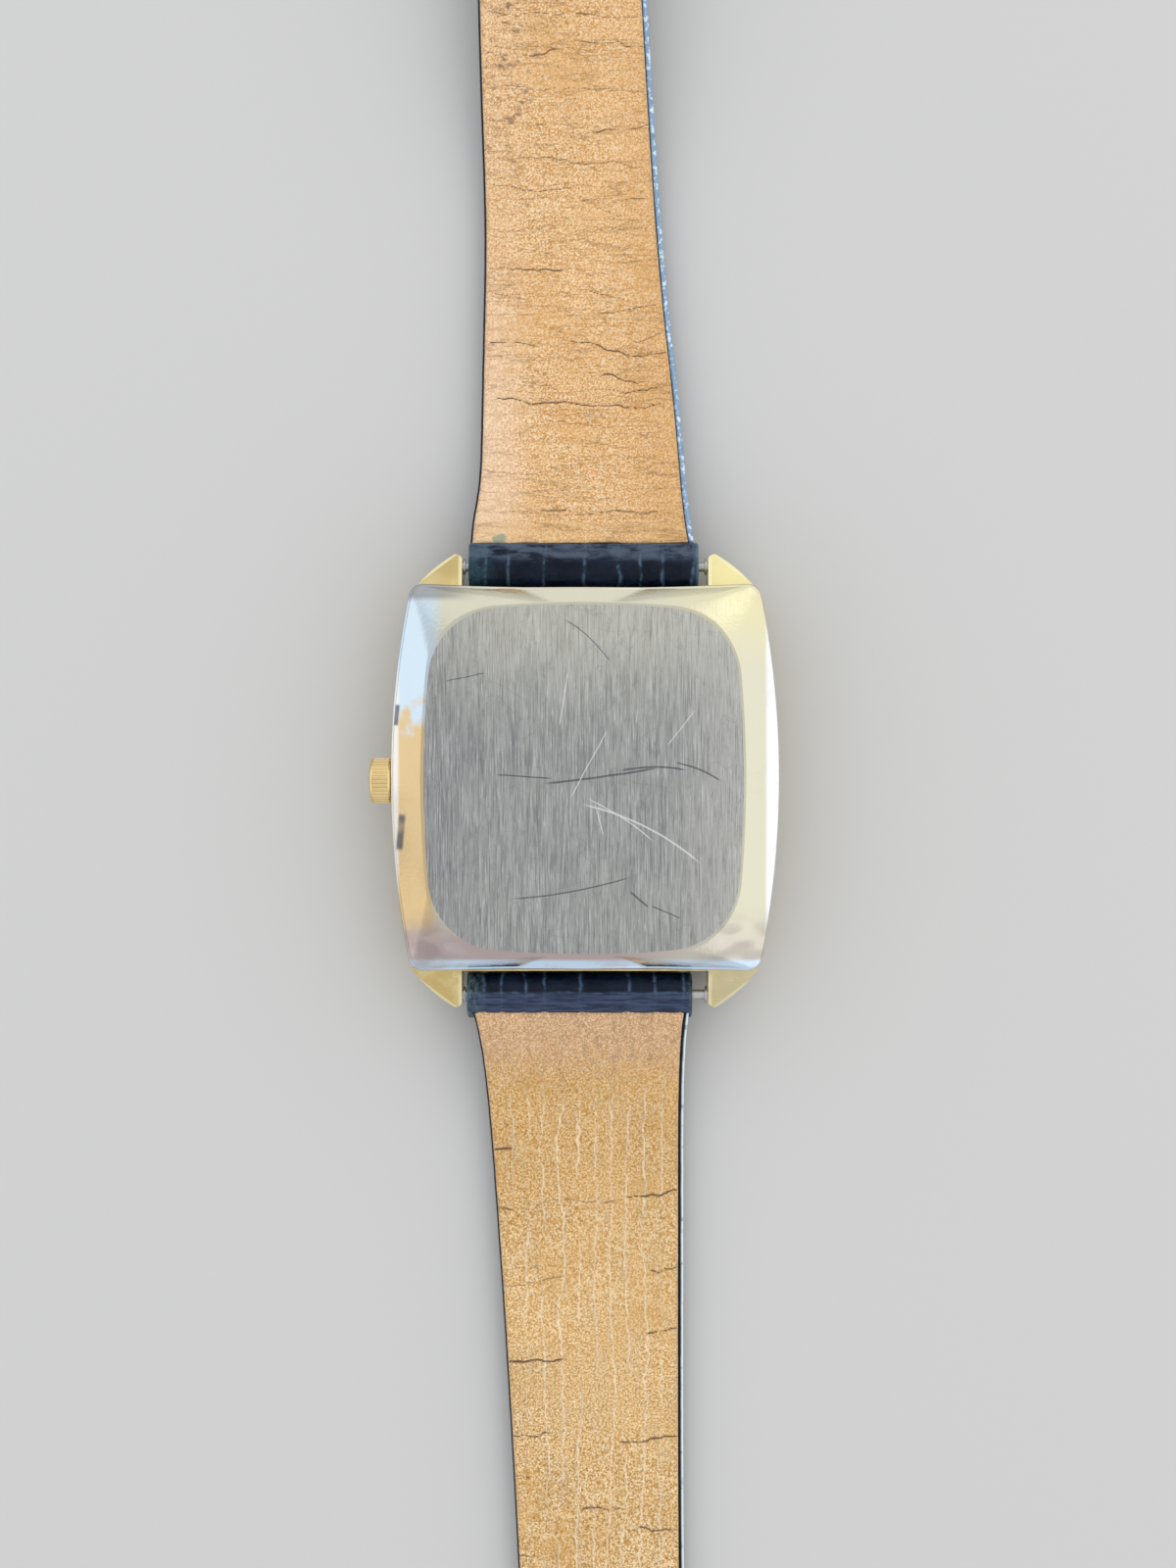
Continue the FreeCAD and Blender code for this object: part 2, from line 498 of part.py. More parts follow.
def make_plates():
    screws = [screw(polar(radius, degrees), seat_z, head_r)
              for radius, degrees, seat_z, head_r in PLATE_SCREWS]
    keep("movement_screws", Part.makeCompound(screws))
    jewels = [ring(pivot, JEWEL_R, JEWEL_HOLE_R, 4.25, PLATE_TOP_Z) for pivot in PIVOTS]
    jewels += [ring(pivot, JEWEL_R, JEWEL_HOLE_R, BRIDGE_Z, 6.35) for pivot in (THIRD, FOURTH, ESCAPE)]
    jewels.append(ring(PALLET, 0.4, JEWEL_HOLE_R, 5.43, 5.52))
    jewels.append(ring(BALANCE, JEWEL_R, JEWEL_HOLE_R, 6.15, 6.5))
    keep("jewels", Part.makeCompound(jewels))

    plate = disc((0, 0), PLATE_R, PLATE_Z, PLATE_TOP_Z)
    plate = plate.fuse(ring((0, 0), PLATE_R, 11.8, DIAL_Z + DIAL_THICKNESS, PLATE_Z))
    plate = plate.cut(disc(CENTRE, 0.34, 3, 6)).cut(disc(BARREL, 0.54, 3, 6))
    plate = plate.cut(box(*STEM_SLOT, 3.7, 6)).cut(disc(SETTING_PIVOT, 0.34, 3.2, 6))
    plate = plate.cut(disc(YOKE_PIVOT, 0.34, 3.2, 6)).fuse(disc(MINUTE, 0.18, 3.55, PLATE_Z))
    slot = box(*STEM_SLOT, 3.0, 7.0)
    barrel_bridge = disc((0, 0), 12.5, BRIDGE_Z, BRIDGE_TOP_Z).common(polygon([
        (-1.7, -3.4), (-1.7, 1.65), (3.0, 3.4), (4.8, 7.1), (8.8, 14), (-14, 14), (-14, -3.4)],
        BRIDGE_Z, BRIDGE_TOP_Z))
    barrel_bridge = barrel_bridge.fuse(sector(11.75, 12.5, 62, 155, PLATE_TOP_Z, BRIDGE_Z))
    for opening in (slot, disc(BARREL, 0.84, 5, 7), disc(CROWN_WHEEL, 0.5, 6.15, 7),
                    disc(CLICK, 0.33, 6.15, 7)):
        barrel_bridge = barrel_bridge.cut(opening)
    train_bridge = disc((0, 0), 12.5, BRIDGE_Z, BRIDGE_TOP_Z).common(polygon([
        (-1.5, -1.9), (-1.5, 1.5), (3.2, 3.2), (5.0, 7.0), (9.0, 11.0), (14, 9), (14, -2.3), (2, -2.3)],
        BRIDGE_Z, BRIDGE_TOP_Z))
    train_bridge = train_bridge.fuse(sector(10.75, 12.5, -4, 42, PLATE_TOP_Z, BRIDGE_Z))
    train_bridge = train_bridge.cut(disc(CENTRE, 0.29, 5, 7))
    cock = bar_between(BALANCE, polar(12.3, -101), 3.2, 6.15, 6.55).fuse(disc(BALANCE, 1.8, 6.15, 6.55))
    cock = join([cock.common(disc((0, 0), 12.4, 6, 7)), sector(8.9, 12.4, -112, -88, PLATE_TOP_Z, 6.55),
                 disc(polar(1.7, 200, BALANCE), 0.2, 6.07, 6.15)])
    pallet_cock = join([bar_between(PALLET, (10.4, -4.7), 1.1, 5.43, 5.52), disc(PALLET, 0.7, 5.43, 5.52),
                        disc((10.4, -4.7), 0.62, PLATE_TOP_Z, 5.52)])
    for name, shape in (("main_plate", plate), ("barrel_bridge", barrel_bridge),
                        ("train_bridge", train_bridge), ("balance_cock", cock),
                        ("pallet_bridge", pallet_cock)):
        for filler in screws + jewels:
            shape = shape.cut(filler)
        for pivot in PIVOTS:
            shape = shape.cut(disc(pivot, JEWEL_HOLE_R, 3, 7))
        keep(name, shape)


def make_winding():
    ratchet = gear(BARREL, 38, 4.18, 6.42, 6.62, 0.0, 0.0)
    keep("ratchet_wheel", ratchet.fuse(disc(BARREL, 1.0, 6.62, 6.78)))
    wheel = gear(CROWN_WHEEL, 24, 2.64, 6.42, 6.62, mesh_phase(0.0, 38, 24, BARREL, CROWN_WHEEL), 0)
    keep("crown_wheel", join([wheel, disc(CROWN_WHEEL, 0.9, 6.62, 6.78),
                              disc(CROWN_WHEEL, 0.46, 6.2, 6.42)]))
    keep("click", join([disc(CLICK, 0.55, 6.42, 6.62), disc(CLICK, 0.3, 6.2, 6.42),
                        bar_between(CLICK, polar(1.75, -20, CLICK), 0.4, 6.42, 6.62)]))
    keep("click_spring", sector(11.3, 11.45, 115, 142, 6.41, 6.58))
    keep("setting_lever", join([disc(SETTING_PIVOT, 0.3, 4.1, 5.6), disc(SETTING_PIVOT, 0.6, 5.55, 5.75),
                                bar_between(SETTING_PIVOT, (-11.65, -0.15), 0.5, 5.55, 5.75),
                                disc((-11.65, 0.0), 0.17, 5.38, 5.6)]))
    keep("yoke", join([disc(YOKE_PIVOT, 0.3, 4.1, 5.1), disc(YOKE_PIVOT, 0.6, 4.9, 5.1),
                       bar_between(YOKE_PIVOT, (-8.5, -1.3), 0.5, 4.9, 5.1),
                       box(-8.58, -8.42, -1.6, -0.82, 4.9, 5.1)]))


def make_motion_work():
    cannon = disc(CENTRE, 0.5, 2.02, 3.97).fuse(gear(CENTRE, 12, 0.6, 3.78, 3.95, 0.0, 0))
    keep("cannon_pinion", cannon.cut(disc(CENTRE, 0.33, 1, 5)))
    minute_phase = mesh_phase(0.0, 12, 36, CENTRE, MINUTE)
    minute = gear(MINUTE, 36, 1.8, 3.78, 3.95, minute_phase, 0)
    minute = minute.fuse(gear(MINUTE, 10, 0.48, 3.53, 3.78, 0.0, 0))
    keep("minute_wheel", minute.cut(disc(MINUTE, 0.21, 3, 5)))
    hour = gear(CENTRE, 40, 1.92, 3.55, 3.72, mesh_phase(0.0, 10, 40, MINUTE, CENTRE), 0)
    keep("hour_wheel", hour.fuse(disc(CENTRE, 0.8, 2.35, 3.55)).cut(disc(CENTRE, 0.55, 1, 5)))
    keep("hour_hand", baton_hand(6.6, 1.2, 0.8, 0.75, 2.4, 305))
    keep("minute_hand", baton_hand(9.8, 0.85, 0.5, 0.6, 2.05, 50))


def baton_hand(length, hub_r, hole_r, width, z, degrees):
    hand = join([disc(CENTRE, hub_r, z, z + 0.15), box(-width / 2, width / 2, -2.2, length, z, z + 0.15)])
    hand = hand.cut(disc(CENTRE, hole_r, 1, 5))
    hand.rotate(vec(0, 0, 0), vec(0, 0, 1), degrees)
    return hand


def make_case_fittings():
    holder = cavity(3.55, HOLDER_TOP_Z, 0.1).cut(disc((0, 0), PLATE_R + 0.05, 3, 6))
    keep("movement_holder", holder.cut(box(-15, -11, -1.5, 1.5, 3.4, 6)))
    clamps = []
    for degrees in (-65, -135):
        clamp = box(11.2, 13.15, -0.9, 0.9, HOLDER_TOP_Z, 5.1)
        clamp = clamp.fuse(box(11.2, 12.7, -0.9, 0.9, PLATE_TOP_Z, HOLDER_TOP_Z))
        clamp = clamp.cut(disc((11.9, 0), 0.35, 4, 6))
        clamp.rotate(vec(0, 0, 0), vec(0, 0, 1), degrees)
        clamps.append(clamp)
    keep("case_clamps", Part.makeCompound(clamps))


# ---------------------------------------------------------------- strap
def smooth(t):
    t = min(max(t, 0.0), 1.0)
    return t * t * (3 - 2 * t)


def strap_bottom(u, end):
    """Height of the outer leather's face; the 12 o'clock half climbs over its keepers' lower legs."""
    slope = math.radians(STRAP_DROP_DEG)
    bend_r = 40.0
    bend_start = STRAP_FLAT_U - bend_r * math.sin(slope)
    if u < bend_start:
        return bend_r * (1 - math.cos(slope)) + (bend_start - u) * math.tan(slope)
    if u < STRAP_FLAT_U:
        return bend_r - math.sqrt(bend_r ** 2 - (STRAP_FLAT_U - u) ** 2)
    if end == 12:
        rise = (u - STRAP_RISE_START_U) / (STRAP_RISE_END_U - STRAP_RISE_START_U)
        return (KEEPER_GAP + KEEPER_WALL) * smooth(rise)
    return 0.0


def strap_thickness(u):
    return 2.0 + 0.55 * math.exp(-u / 22.0) + 1.45 * math.exp(-(u / 7.0) ** 2)


def strap_half_width(u):
    taper = max(1 - u / STRAP_TAPER_U, 0.0)
    return STRAP_END_HALF_WIDTH + 2.25 * taper ** 1.8 + 0.75 * math.exp(-max(u, 0) / 3.0)


def edge_shift(u, end, sign):
    """How far each edge of the worn strap wanders sideways from its regular taper."""
    run = max(u, 0.0)
    if end == 6:
        return -0.8 * math.exp(-run / 17.0) if sign > 0 else -0.15 * math.exp(-run / 2.0)
    if sign < 0:
        return 0.24 * math.exp(-((u - 29.0) / 10.0) ** 2) - 0.34 * math.exp(-((u - 3.5) / 3.0) ** 2)
    return 0.30 * math.exp(-((u - 13.0) / 8.5) ** 2) - 0.25 * math.exp(-run / 3.0)


def stations(start, stop):
    count = max(4, int((stop - start) / 3.5))
    return [start + (stop - start) * i / count for i in range(count + 1)]


def curve(points):
    spline = Part.BSplineCurve()
    spline.interpolate(points)
    return spline.toShape()


def layer(start, stop, low, high):
    """A slice through the strap's thickness; low and high give its faces' heights at a station."""
    lower = curve([vec(0, u, low(u)) for u in stations(start, stop)])
    upper = curve([vec(0, u, high(u)) for u in stations(start, stop)])
    sides = [line(lower.Vertexes[0].Point, upper.Vertexes[0].Point),
             line(lower.Vertexes[-1].Point, upper.Vertexes[-1].Point)]
    face = Part.Face(Part.Wire(Part.__sortEdges__([lower, upper] + sides)))
    return face.extrude(vec(24, 0, 0)).translated(vec(-12, 0, 0))


def strap_plan(end, start, stop, inset, shift=0.0, point=0.0):
    """The strap's outline seen from above, tapering and set a little to one side."""
    lean = LEAN_12 if end == 12 else LEAN_6
    sides = []
    straight = stop - point
    for sign in (-1, 1):
        sides.append(curve([vec(lean * u + shift + edge_shift(u, end, sign)
                                + sign * (strap_half_width(u) - inset), u, -5)
                            for u in stations(start, straight)]))
    left, right = sides
    edges = [left, right, line(left.Vertexes[0].Point, right.Vertexes[0].Point)]
    if point:
        tip = vec(lean * stop, stop, -5)
        edges.append(arc(left.Vertexes[-1].Point, vec(lean * stop - 4.6, stop - 2.2, -5), tip))
        edges.append(arc(tip, vec(lean * stop + 4.6, stop - 2.2, -5), right.Vertexes[-1].Point))
    else:
        edges.append(line(left.Vertexes[-1].Point, right.Vertexes[-1].Point))
    return Part.Face(Part.Wire(Part.__sortEdges__(edges))).extrude(vec(0, 0, 20))


def place_strap(shape, end):
    """Strap shapes are drawn with u along +Y from their spring bar; the 6 o'clock half is turned over."""
    if end == 6:
        shape = shape.mirror(vec(0, 0, 0), vec(0, 1, 0))
    side = 1 if end == 12 else -1
    return shape.translated(vec(0, side * BAR_Y, 0))


def make_strap(end):
    lining_start = LINING_START_12_U if end == 12 else LINING_START_6_U
    length = BUCKLE_BAR_U if end == 12 else STRAP_6_TIP_U
    point = 0.0 if end == 12 else TIP_LENGTH

    def bottom(u):
        return strap_bottom(u, end)

    def top(u):
        return bottom(u) + strap_thickness(u)

    def lining_under(u):
        return top(u) - LINING_SKIN

    def skin_top(u):
        return bottom(u) + OUTER_SKIN

    plan_end = length + 3.0 if end == 12 else length
    plan = strap_plan(end, -3.0, plan_end, 0.0, 0.0, point)
    inner_plan = strap_plan(end, -3.0, plan_end, LINING_INSET, LINING_SHIFT, point)
    core_plan = strap_plan(end, -3.0, plan_end, CORE_INSET, 0.0, point)
    loop = rod_x(-12, 12, 0, BAR_Z, LOOP_OUTER_R)
    bore = rod_x(-13, 13, 0, BAR_Z, LOOP_INNER_R)
    lining_end = length - 3.0 if end == 12 else length
    skin = layer(-0.48, length, bottom, skin_top)
    wrap = layer(0.6, 6.0, lambda u: lining_under(u) - WRAP_SKIN,
                 lambda u: lining_under(u) - 3 * GLUE_GAP)
    lip = layer(0.6, lining_start, lambda u: lining_under(u) - WRAP_SKIN / 2, top)
    lining = layer(lining_start + GLUE_GAP, lining_end - GLUE_GAP, lining_under, top)
    core = layer(1.2, lining_end - GLUE_GAP, lambda u: skin_top(u) + GLUE_GAP,
                 lambda u: lining_under(u) - GLUE_GAP)
    shapes = [loop, skin, wrap, lip]
    if end == 12:
        shapes.append(rod_x(-12, 12, length, BUCKLE_BAR_Z, ROLL_R))
        shapes.append(layer(lining_end, length, lambda u: bottom(u) + OUTER_SKIN / 2, top))
    outer = shapes[0]
    for shape in shapes[1:]:
        outer = outer.fuse(shape)
    outer = outer.cut(bore).common(plan)
    lining = lining.common(inner_plan)
    lining = lining.cut(rod_x(-13, 13, 0, BAR_Z, LOOP_OUTER_R + GLUE_GAP))
    core = core.common(core_plan).cut(outer).cut(bore)
    if end == 12:
        eye = rod_x(-13, 13, length, BUCKLE_BAR_Z, ROLL_BORE_R)
        lean = LEAN_12 * length
        slot = box(lean - TONGUE_SLOT_HALF, lean + TONGUE_SLOT_HALF, length - 2.2, length + 3, 0, 9)
        outer = outer.cut(eye).cut(slot)
    else:
        for hole in range(HOLE_COUNT):
            u = HOLE_FIRST_U + HOLE_PITCH * hole
            punch = disc((LEAN_6 * u, u), HOLE_R, -1, 5)
            outer = outer.cut(punch)
            lining = lining.cut(punch)
            core = core.cut(punch)
    core = max(core.Solids, key=lambda solid: solid.Volume)
    keep("strap_%d_outer" % end, place_strap(outer, end))
    keep("strap_%d_core" % end, place_strap(core, end))
    keep("strap_%d_lining" % end, place_strap(lining, end))


def make_spring_bars():
    for end, side in ((12, 1), (6, -1)):
        y = side * BAR_Y
        tube = rod_x(-BAR_HALF_LENGTH, BAR_HALF_LENGTH, y, BAR_Z, BAR_TUBE_R)
        inner = BAR_HALF_LENGTH - BAR_END_WALL
        tube = tube.cut(rod_x(-inner, inner, y, BAR_Z, BAR_BORE_R))
        keep("spring_bar_%d_tube" % end, tube.cut(rod_x(-BAR_TIP_X, BAR_TIP_X, y, BAR_Z, BAR_TIP_R + 0.05)))
        for name, sign in (("left", -1), ("right", 1)):
            def along(a, b, radius):
                return rod_x(min(sign * a, sign * b), max(sign * a, sign * b), y, BAR_Z, radius)

            tip = join([along(inner - 0.75, BAR_TIP_X, BAR_TIP_R),
                        along(inner - 0.75, inner - 0.05, BAR_BORE_R - 0.04),
                        along(BAR_SHOULDER_X, BAR_SHOULDER_X + 0.17, 0.7)])
            keep("spring_bar_%d_tip_%s" % (end, name), tip)


def make_keepers():
    for name, (start, stop), clearance in (("floating_keeper", FLOATING_KEEPER_U, 0.12),
                                           ("fixed_keeper", FIXED_KEEPER_U, 0.02)):
        middle = (start + stop) / 2
        x = LEAN_12 * middle
        half = strap_half_width(start) + 0.25
        low = KEEPER_WALL
        high = KEEPER_GAP + KEEPER_WALL + strap_thickness(start) + clearance
        wide = half + KEEPER_WALL
        band = box(x - wide, x + wide, start, stop, low - KEEPER_WALL, high + KEEPER_WALL)
        corners = [e for e in band.Edges if e.BoundBox.YLength > stop - start - 0.01]
        band = band.makeFillet(1.0, corners)
        band = band.cut(box(x - half, x + half, start - 1, stop + 1, low, high))
        keep(name, place_strap(band, 12))


def make_buckle():
    x = LEAN_12 * BUCKLE_BAR_U
    frame = box(-BUCKLE_HALF_WIDTH, BUCKLE_HALF_WIDTH, -1.4, BUCKLE_REACH, -0.8, 0.8)
    corners = [e for e in frame.Edges if e.BoundBox.ZLength > 1.5 and e.BoundBox.YMin > 5]
    inner = BUCKLE_HALF_WIDTH - BUCKLE_WALL
    frame = frame.makeFillet(3.0, corners).cut(box(-inner, inner, -2, BUCKLE_REACH - 1.9, -1, 1))
    long_edges = [e for e in frame.Edges if e.BoundBox.ZLength < 0.01 and e.BoundBox.YMax > 9.45
                  and e.BoundBox.XLength + e.BoundBox.YLength > 3 and e.BoundBox.ZMax < 0]
    frame = frame.makeChamfer(0.3, long_edges)
    frame = frame.cut(rod_x(-10, 10, 0, 0, BUCKLE_BAR_R))
    bar = rod_x(-BUCKLE_HALF_WIDTH, BUCKLE_HALF_WIDTH, 0, 0, BUCKLE_BAR_R)
    arm_profile = Part.makePolygon([vec(0, 0.3, -1.2), vec(0, 9.4, -1.62), vec(0, 11.5, -1.42),
                                    vec(0, 11.5, -0.88), vec(0, 9.2, -0.88), vec(0, 1.0, -0.5),
                                    vec(0, 0.3, -1.2)])
    arm = Part.Face(arm_profile).extrude(vec(2.0, 0, 0)).translated(vec(-1.0, 0, 0))
    eye = rod_x(-1.2, 1.2, 0, 0, 1.25)
    tongue = eye.fuse(arm).cut(rod_x(-2, 2, 0, 0, BUCKLE_BAR_R + 0.06))
    for name, shape in (("buckle_frame", frame), ("buckle_bar", bar), ("buckle_tongue", tongue)):
        shape.rotate(vec(0, 0, 0), vec(1, 0, 0), -BUCKLE_DROOP_DEG)
        shape.translate(vec(x, BUCKLE_BAR_U, BUCKLE_BAR_Z))
        keep(name, place_strap(shape, 12))


def main():
    make_case()
    make_back()
    make_crystal()
    make_crown()
    make_train()
    make_escapement()
    make_plates()
    make_winding()
    make_motion_work()
    make_case_fittings()
    make_spring_bars()
    make_strap(12)
    make_strap(6)
    make_keepers()
    make_buckle()
    os.makedirs("parts", exist_ok=True)
    for name, shape in PARTS.items():
        shape.exportStep("parts/%s.step" % name)
        print("%-26s solids %2d valid %s volume %.3f" % (
            name, len(shape.Solids), shape.isValid(), shape.Volume))
    print(len(PARTS), "nodes")


main()
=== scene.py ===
import math

import bmesh
import bpy
import numpy as np
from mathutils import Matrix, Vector


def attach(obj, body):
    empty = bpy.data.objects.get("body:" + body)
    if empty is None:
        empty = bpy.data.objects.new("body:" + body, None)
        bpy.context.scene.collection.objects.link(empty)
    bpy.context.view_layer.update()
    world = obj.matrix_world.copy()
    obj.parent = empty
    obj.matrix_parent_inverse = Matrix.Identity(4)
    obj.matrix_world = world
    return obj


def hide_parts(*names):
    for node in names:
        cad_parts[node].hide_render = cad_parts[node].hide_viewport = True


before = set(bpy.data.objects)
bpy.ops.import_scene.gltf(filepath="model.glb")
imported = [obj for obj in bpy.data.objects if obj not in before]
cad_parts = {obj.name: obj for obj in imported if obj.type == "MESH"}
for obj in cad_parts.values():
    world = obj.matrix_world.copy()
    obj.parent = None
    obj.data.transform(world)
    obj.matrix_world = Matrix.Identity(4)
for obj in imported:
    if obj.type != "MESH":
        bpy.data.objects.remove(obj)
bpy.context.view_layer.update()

# The looks of a wristwatch that lies face down: +Z out of its case back, +Y along the 12 o'clock
# strap, crown on the -X side. Lengths below are in millimetres, and MM turns them into metres.
MM = 0.001

# The strap halves are laid out by u, the distance from the spring bar along the strap; 12 and 6 name
# them. They lean sideways, and both bend down from the case to the floor (BEND_END, BEND_R).
BAR_Y = 18.5
BAR_Z = 4.5
LEAN = {12: -0.040, 6: 0.028}
LENGTH = {12: 74.0, 6: 112.0}
LINING_START = {12: 2.0, 6: 1.4}
SIDE = {12: 1, 6: -1}
BEND_END = 14.7
BEND_R = 40.0
KEEPER_CLIMB = 3.2
HOLES = [56.0 + 6.5 * i for i in range(7)]
HOLE_R = 0.8
BUCKLE_BAR_Z = 4.3


# ---------------------------------------------------------------- mesh helpers
def link_object(name, data):
    made = bpy.data.objects.new(name, data)
    bpy.context.scene.collection.objects.link(made)
    return made


def closed_mesh(name, points, faces):
    """A mesh from points in millimetres, with every face turned outwards."""
    mesh = bpy.data.meshes.new(name)
    mesh.from_pydata([tuple(p) for p in np.asarray(points) * MM], [], [tuple(f) for f in faces])
    mesh.validate()
    work = bmesh.new()
    work.from_mesh(mesh)
    bmesh.ops.recalc_face_normals(work, faces=work.faces)
    work.to_mesh(mesh)
    work.free()
    return mesh


def add_mesh(name, rings, faces, body, material, replaces=()):
    """A piece of the watch from its rings of points, riding on a body."""
    mesh = closed_mesh(name, np.concatenate(rings), faces)
    piece = link_object(name, mesh)
    mesh.polygons.foreach_set("use_smooth", [True] * len(mesh.polygons))
    mesh.materials.append(material)
    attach(piece, body)
    if replaces:
        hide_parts(*replaces)
    return piece


def loft_faces(rings, count):
    """Quads between rings of equal length."""
    faces = []
    for r in range(0, (rings - 1) * count, count):
        for i in range(count):
            j = (i + 1) % count
            faces.append((r + i, r + j, r + count + j, r + count + i))
    return faces


def capped_faces(rings, count):
    """A solid rod: a loft with its first and last ring capped."""
    last = (rings - 1) * count
    return loft_faces(rings, count) + [tuple(reversed(range(count))), tuple(range(last, last + count))]


def tube_faces(rings, count):
    """A solid tube: a loft whose last ring joins its first."""
    last = (rings - 1) * count
    closing = [(last + i, last + (i + 1) % count, (i + 1) % count, i) for i in range(count)]
    return loft_faces(rings, count) + closing


def points_at(x, y, z):
    """Columns x, y and z of points; single numbers are repeated for all of them."""
    return np.column_stack(np.broadcast_arrays(x, y, z))


def smooth_step(t):
    t = np.clip(t, 0.0, 1.0)
    return t * t * (3 - 2 * t)


def sharpen(piece, degrees=35):
    """Smooth shading that breaks at the piece's real edges."""
    with bpy.context.temp_override(object=piece, active_object=piece, selected_editable_objects=[piece],
                                   selected_objects=[piece]):
        bpy.ops.object.shade_smooth_by_angle(angle=math.radians(degrees))


# ---------------------------------------------------------------- cushion outlines
def arc_points(centre, radius, start, stop, count):
    angles = np.linspace(start, stop, count, endpoint=False)
    return np.stack([centre[0] + radius * np.cos(angles), centre[1] + radius * np.sin(angles)], 1)


def cushion(half_w, half_h, side_sag, top_sag, bottom_sag, corner_r, side_count=72, corner_count=28):
    """Points round a bowed rectangle with round corners; every outline has the same point order."""
    reach = half_h - max((top_sag, bottom_sag, 0.0))
    side_r = (reach ** 2 + side_sag ** 2) / (2 * side_sag)
    side_c = half_w - side_r
    corner_x = half_w - side_sag
    corners = []
    ends = []
    for end, sag in ((1, top_sag), (-1, bottom_sag)):
        end_r = (corner_x ** 2 + sag ** 2) / (2 * abs(sag))
        if sag > 0:
            end_c = end * (half_h - end_r)
            near = end_r - corner_r
        else:
            end_c = end * (half_h + sag + end_r)
            near = end_r + corner_r
        inner = side_r - corner_r
        gap = math.hypot(side_c, end_c)
        along = (inner ** 2 - near ** 2 + gap ** 2) / (2 * gap)
        height = math.sqrt(max(inner ** 2 - along ** 2, 0.0))
        towards = np.array([-side_c, end_c]) / gap
        normal = np.array([-towards[1], towards[0]])
        options = [np.array([side_c, 0.0]) + towards * along + s * normal * height for s in (1, -1)]
        centre = min(options, key=lambda c: abs(c[0] - corner_x) + abs(c[1] - end * half_h))
        corners.append(centre)
        ends.append((end_c, end_r, sag))
    top, bottom = corners
    side_top = math.atan2(top[1], top[0] - side_c)
    side_low = math.atan2(bottom[1], bottom[0] - side_c)

    def end_angle(centre, index):
        end_c, _, sag = ends[index]
        if sag > 0:
            return math.atan2(centre[1] - end_c, centre[0])
        return math.atan2(end_c - centre[1], -centre[0])

    top_angle = end_angle(top, 0)
    low_angle = end_angle(bottom, 1)
    parts = [arc_points((side_c, 0.0), side_r, side_low, side_top, side_count)]
    parts.append(arc_points(top, corner_r, side_top, top_angle, corner_count))
    xs = np.linspace(1, -1, side_count, endpoint=False)
    for index, centre, angle in ((0, top, top_angle), (1, bottom, low_angle)):
        end_c, end_r, sag = ends[index]
        start_x = centre[0] + corner_r * math.cos(angle)
        x = xs * start_x
        bow = np.sqrt(end_r ** 2 - x ** 2)
        end = 1 if index == 0 else -1
        y = end_c + end * bow if sag > 0 else end_c - end * bow
        if index == 0:
            pi = math.pi
            parts.append(np.stack([x, y], 1))
            parts.append(arc_points((-top[0], top[1]), corner_r, pi - top_angle, pi - side_top, corner_count))
            parts.append(arc_points((-side_c, 0.0), side_r, pi - side_top, pi - side_low, side_count))
            parts.append(arc_points((-bottom[0], bottom[1]), corner_r, pi - side_low, pi - low_angle,
                                    corner_count))
        else:
            parts.append(np.stack([-x, y], 1))
            start = low_angle if low_angle < 0 else low_angle - 2 * math.pi
            parts.append(arc_points(bottom, corner_r, start, side_low, corner_count))
    return np.concatenate(parts)


